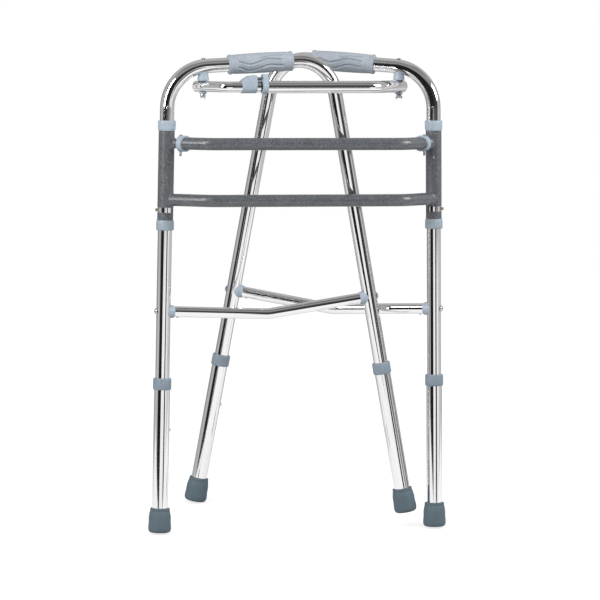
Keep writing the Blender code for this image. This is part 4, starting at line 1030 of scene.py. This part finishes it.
def make_surroundings():
    """White surroundings; the plating mirrors a studio with black screens and a grey ceiling."""
    world = bpy.data.worlds.new("surroundings")
    bpy.context.scene.world = world
    world.use_nodes = True
    studio = Nodes(world.node_tree)
    ground = world.node_tree.nodes["Background"]
    way = studio.node('ShaderNodeTexCoord', output="Generated")
    way = studio.node('ShaderNodeMapping', {"vector_type": 'VECTOR'},
                      {"Vector": way, "Rotation": (LEAN_BACK, 0, 0)})
    x, y, z = studio.parts(way)
    studio.set(ground, {"Color": (1, 1, 1, 1), "Strength": 0.42 + y.between(0.5, -0.7) * 0.34 + z * 0.08})
    round_it = studio.node('ShaderNodeMath', {"operation": 'ARCTAN2'}, {0: x, 1: y * -1.0}) / (2 * pi) + 0.5
    bands = [studio.node('ShaderNodeValToRGB', {"stops": [(a / 360 + 0.5, shade) for a, shade in stops]},
                         {"Fac": round_it}) for stops in (AT_LEGS, ABOVE_LEGS)]
    overhead = studio.node('ShaderNodeValToRGB', {"stops": OVERHEAD}, {"Fac": z})
    overhead = studio.mix(y.between(-0.1, 0.2), overhead, BACK_CEILING)
    mirrored = studio.mix(z.between(*ABOVE_LEGS_STARTS), *bands)
    mirrored = studio.mix(z.between(*OVERHEAD_STARTS), mirrored, overhead)
    white = studio.node('ShaderNodeBackground', {}, {"Color": (1, 1, 1, 1), "Strength": 1.0})
    screens = studio.node('ShaderNodeBackground', {}, {"Color": mirrored, "Strength": 1.0})
    camera, glossy, through = studio.rays()
    plain = studio.node('ShaderNodeMixShader', {},
                        {0: camera + through, 1: Wired(studio, ground.outputs[0]), 2: white})
    every = studio.node('ShaderNodeMixShader', {}, {0: glossy, 1: plain, 2: screens})
    studio.set(world.node_tree.nodes["World Output"], {"Surface": every})


def make_flag(name, corner_low, corner_high, shade):
    """An upright card that only reflections see."""
    low, high = Vector(corner_low), Vector(corner_high)
    work = bmesh.new()
    foot = [work.verts.new((low.x, low.y, low.z)), work.verts.new((high.x, high.y, low.z))]
    grown = bmesh.ops.extrude_edge_only(work, edges=[work.edges.new(foot)])
    bmesh.ops.translate(work, verts=new_verts(grown), vec=(0, 0, high.z - low.z))
    mesh = mesh_from(name, work)
    card = in_scene(name, mesh)
    felt = bpy.data.materials.new(name + "_felt")
    felt.use_nodes = True
    cloth = Nodes(felt.node_tree)
    glow = cloth.node('ShaderNodeEmission', {}, {"Color": (shade, shade, shade, 1), "Strength": 1.0})
    cloth.set(felt.node_tree.nodes["Material Output"], {"Surface": glow})
    mesh.materials.append(felt)
    for kind in ("camera", "diffuse", "shadow", "transmission"):
        setattr(card, f"visible_{kind}", False)


def make_light(name, place, target, size, power):
    lamp = bpy.data.lights.new(name, 'AREA')
    lamp.shape = 'RECTANGLE'
    lamp.size, lamp.size_y = size
    lamp.energy = power
    made = in_scene(name, lamp)
    made.location = place
    made.rotation_euler = (Vector(place) - Vector(target)).to_track_quat('Z', 'Y').to_euler()


def make_camera():
    """The photograph's camera, for a frame of 600 by 600."""
    azimuth, elevation, roll = radians(13.4), radians(4.3), radians(-0.45)
    distance, focal_px, frame_px = 7.5, 4255.0, 600.0
    forward = Vector((sin(azimuth) * cos(elevation), cos(azimuth) * cos(elevation), -sin(elevation)))
    right = Vector((cos(azimuth), -sin(azimuth), 0))
    up = right.cross(forward)
    level = right * cos(roll) - up * sin(roll)
    tall = right * sin(roll) + up * cos(roll)
    eye = Vector((0.0003, 0, 0.4065)) - forward * distance
    turned_to = Matrix((level, tall, -forward)).transposed().to_4x4()
    lens = bpy.data.cameras.new("photo_camera")
    lens.sensor_fit = 'HORIZONTAL'
    lens.sensor_width = 36.0
    lens.lens = focal_px / frame_px * lens.sensor_width
    lens.clip_end = 100
    camera = in_scene("photo_camera", lens)
    camera.matrix_world = BASE @ Matrix.Translation(eye) @ turned_to
    bpy.context.scene.camera = camera


make_floor()
make_surroundings()
make_flag("flag_right", (0.55, -2.5, 0.0), (1.45, -2.5, 0.78), 0.02)
make_light("key", (-3.5, -2.0, 2.5), (0, 0, 0.5), (1.1, 3.0), 125)
make_light("fill", (3.1, -1.3, 2.4), (0, 0, 0.5), (1.5, 1.5), 80)
make_camera()

bpy.context.scene.view_settings.view_transform = 'Standard'
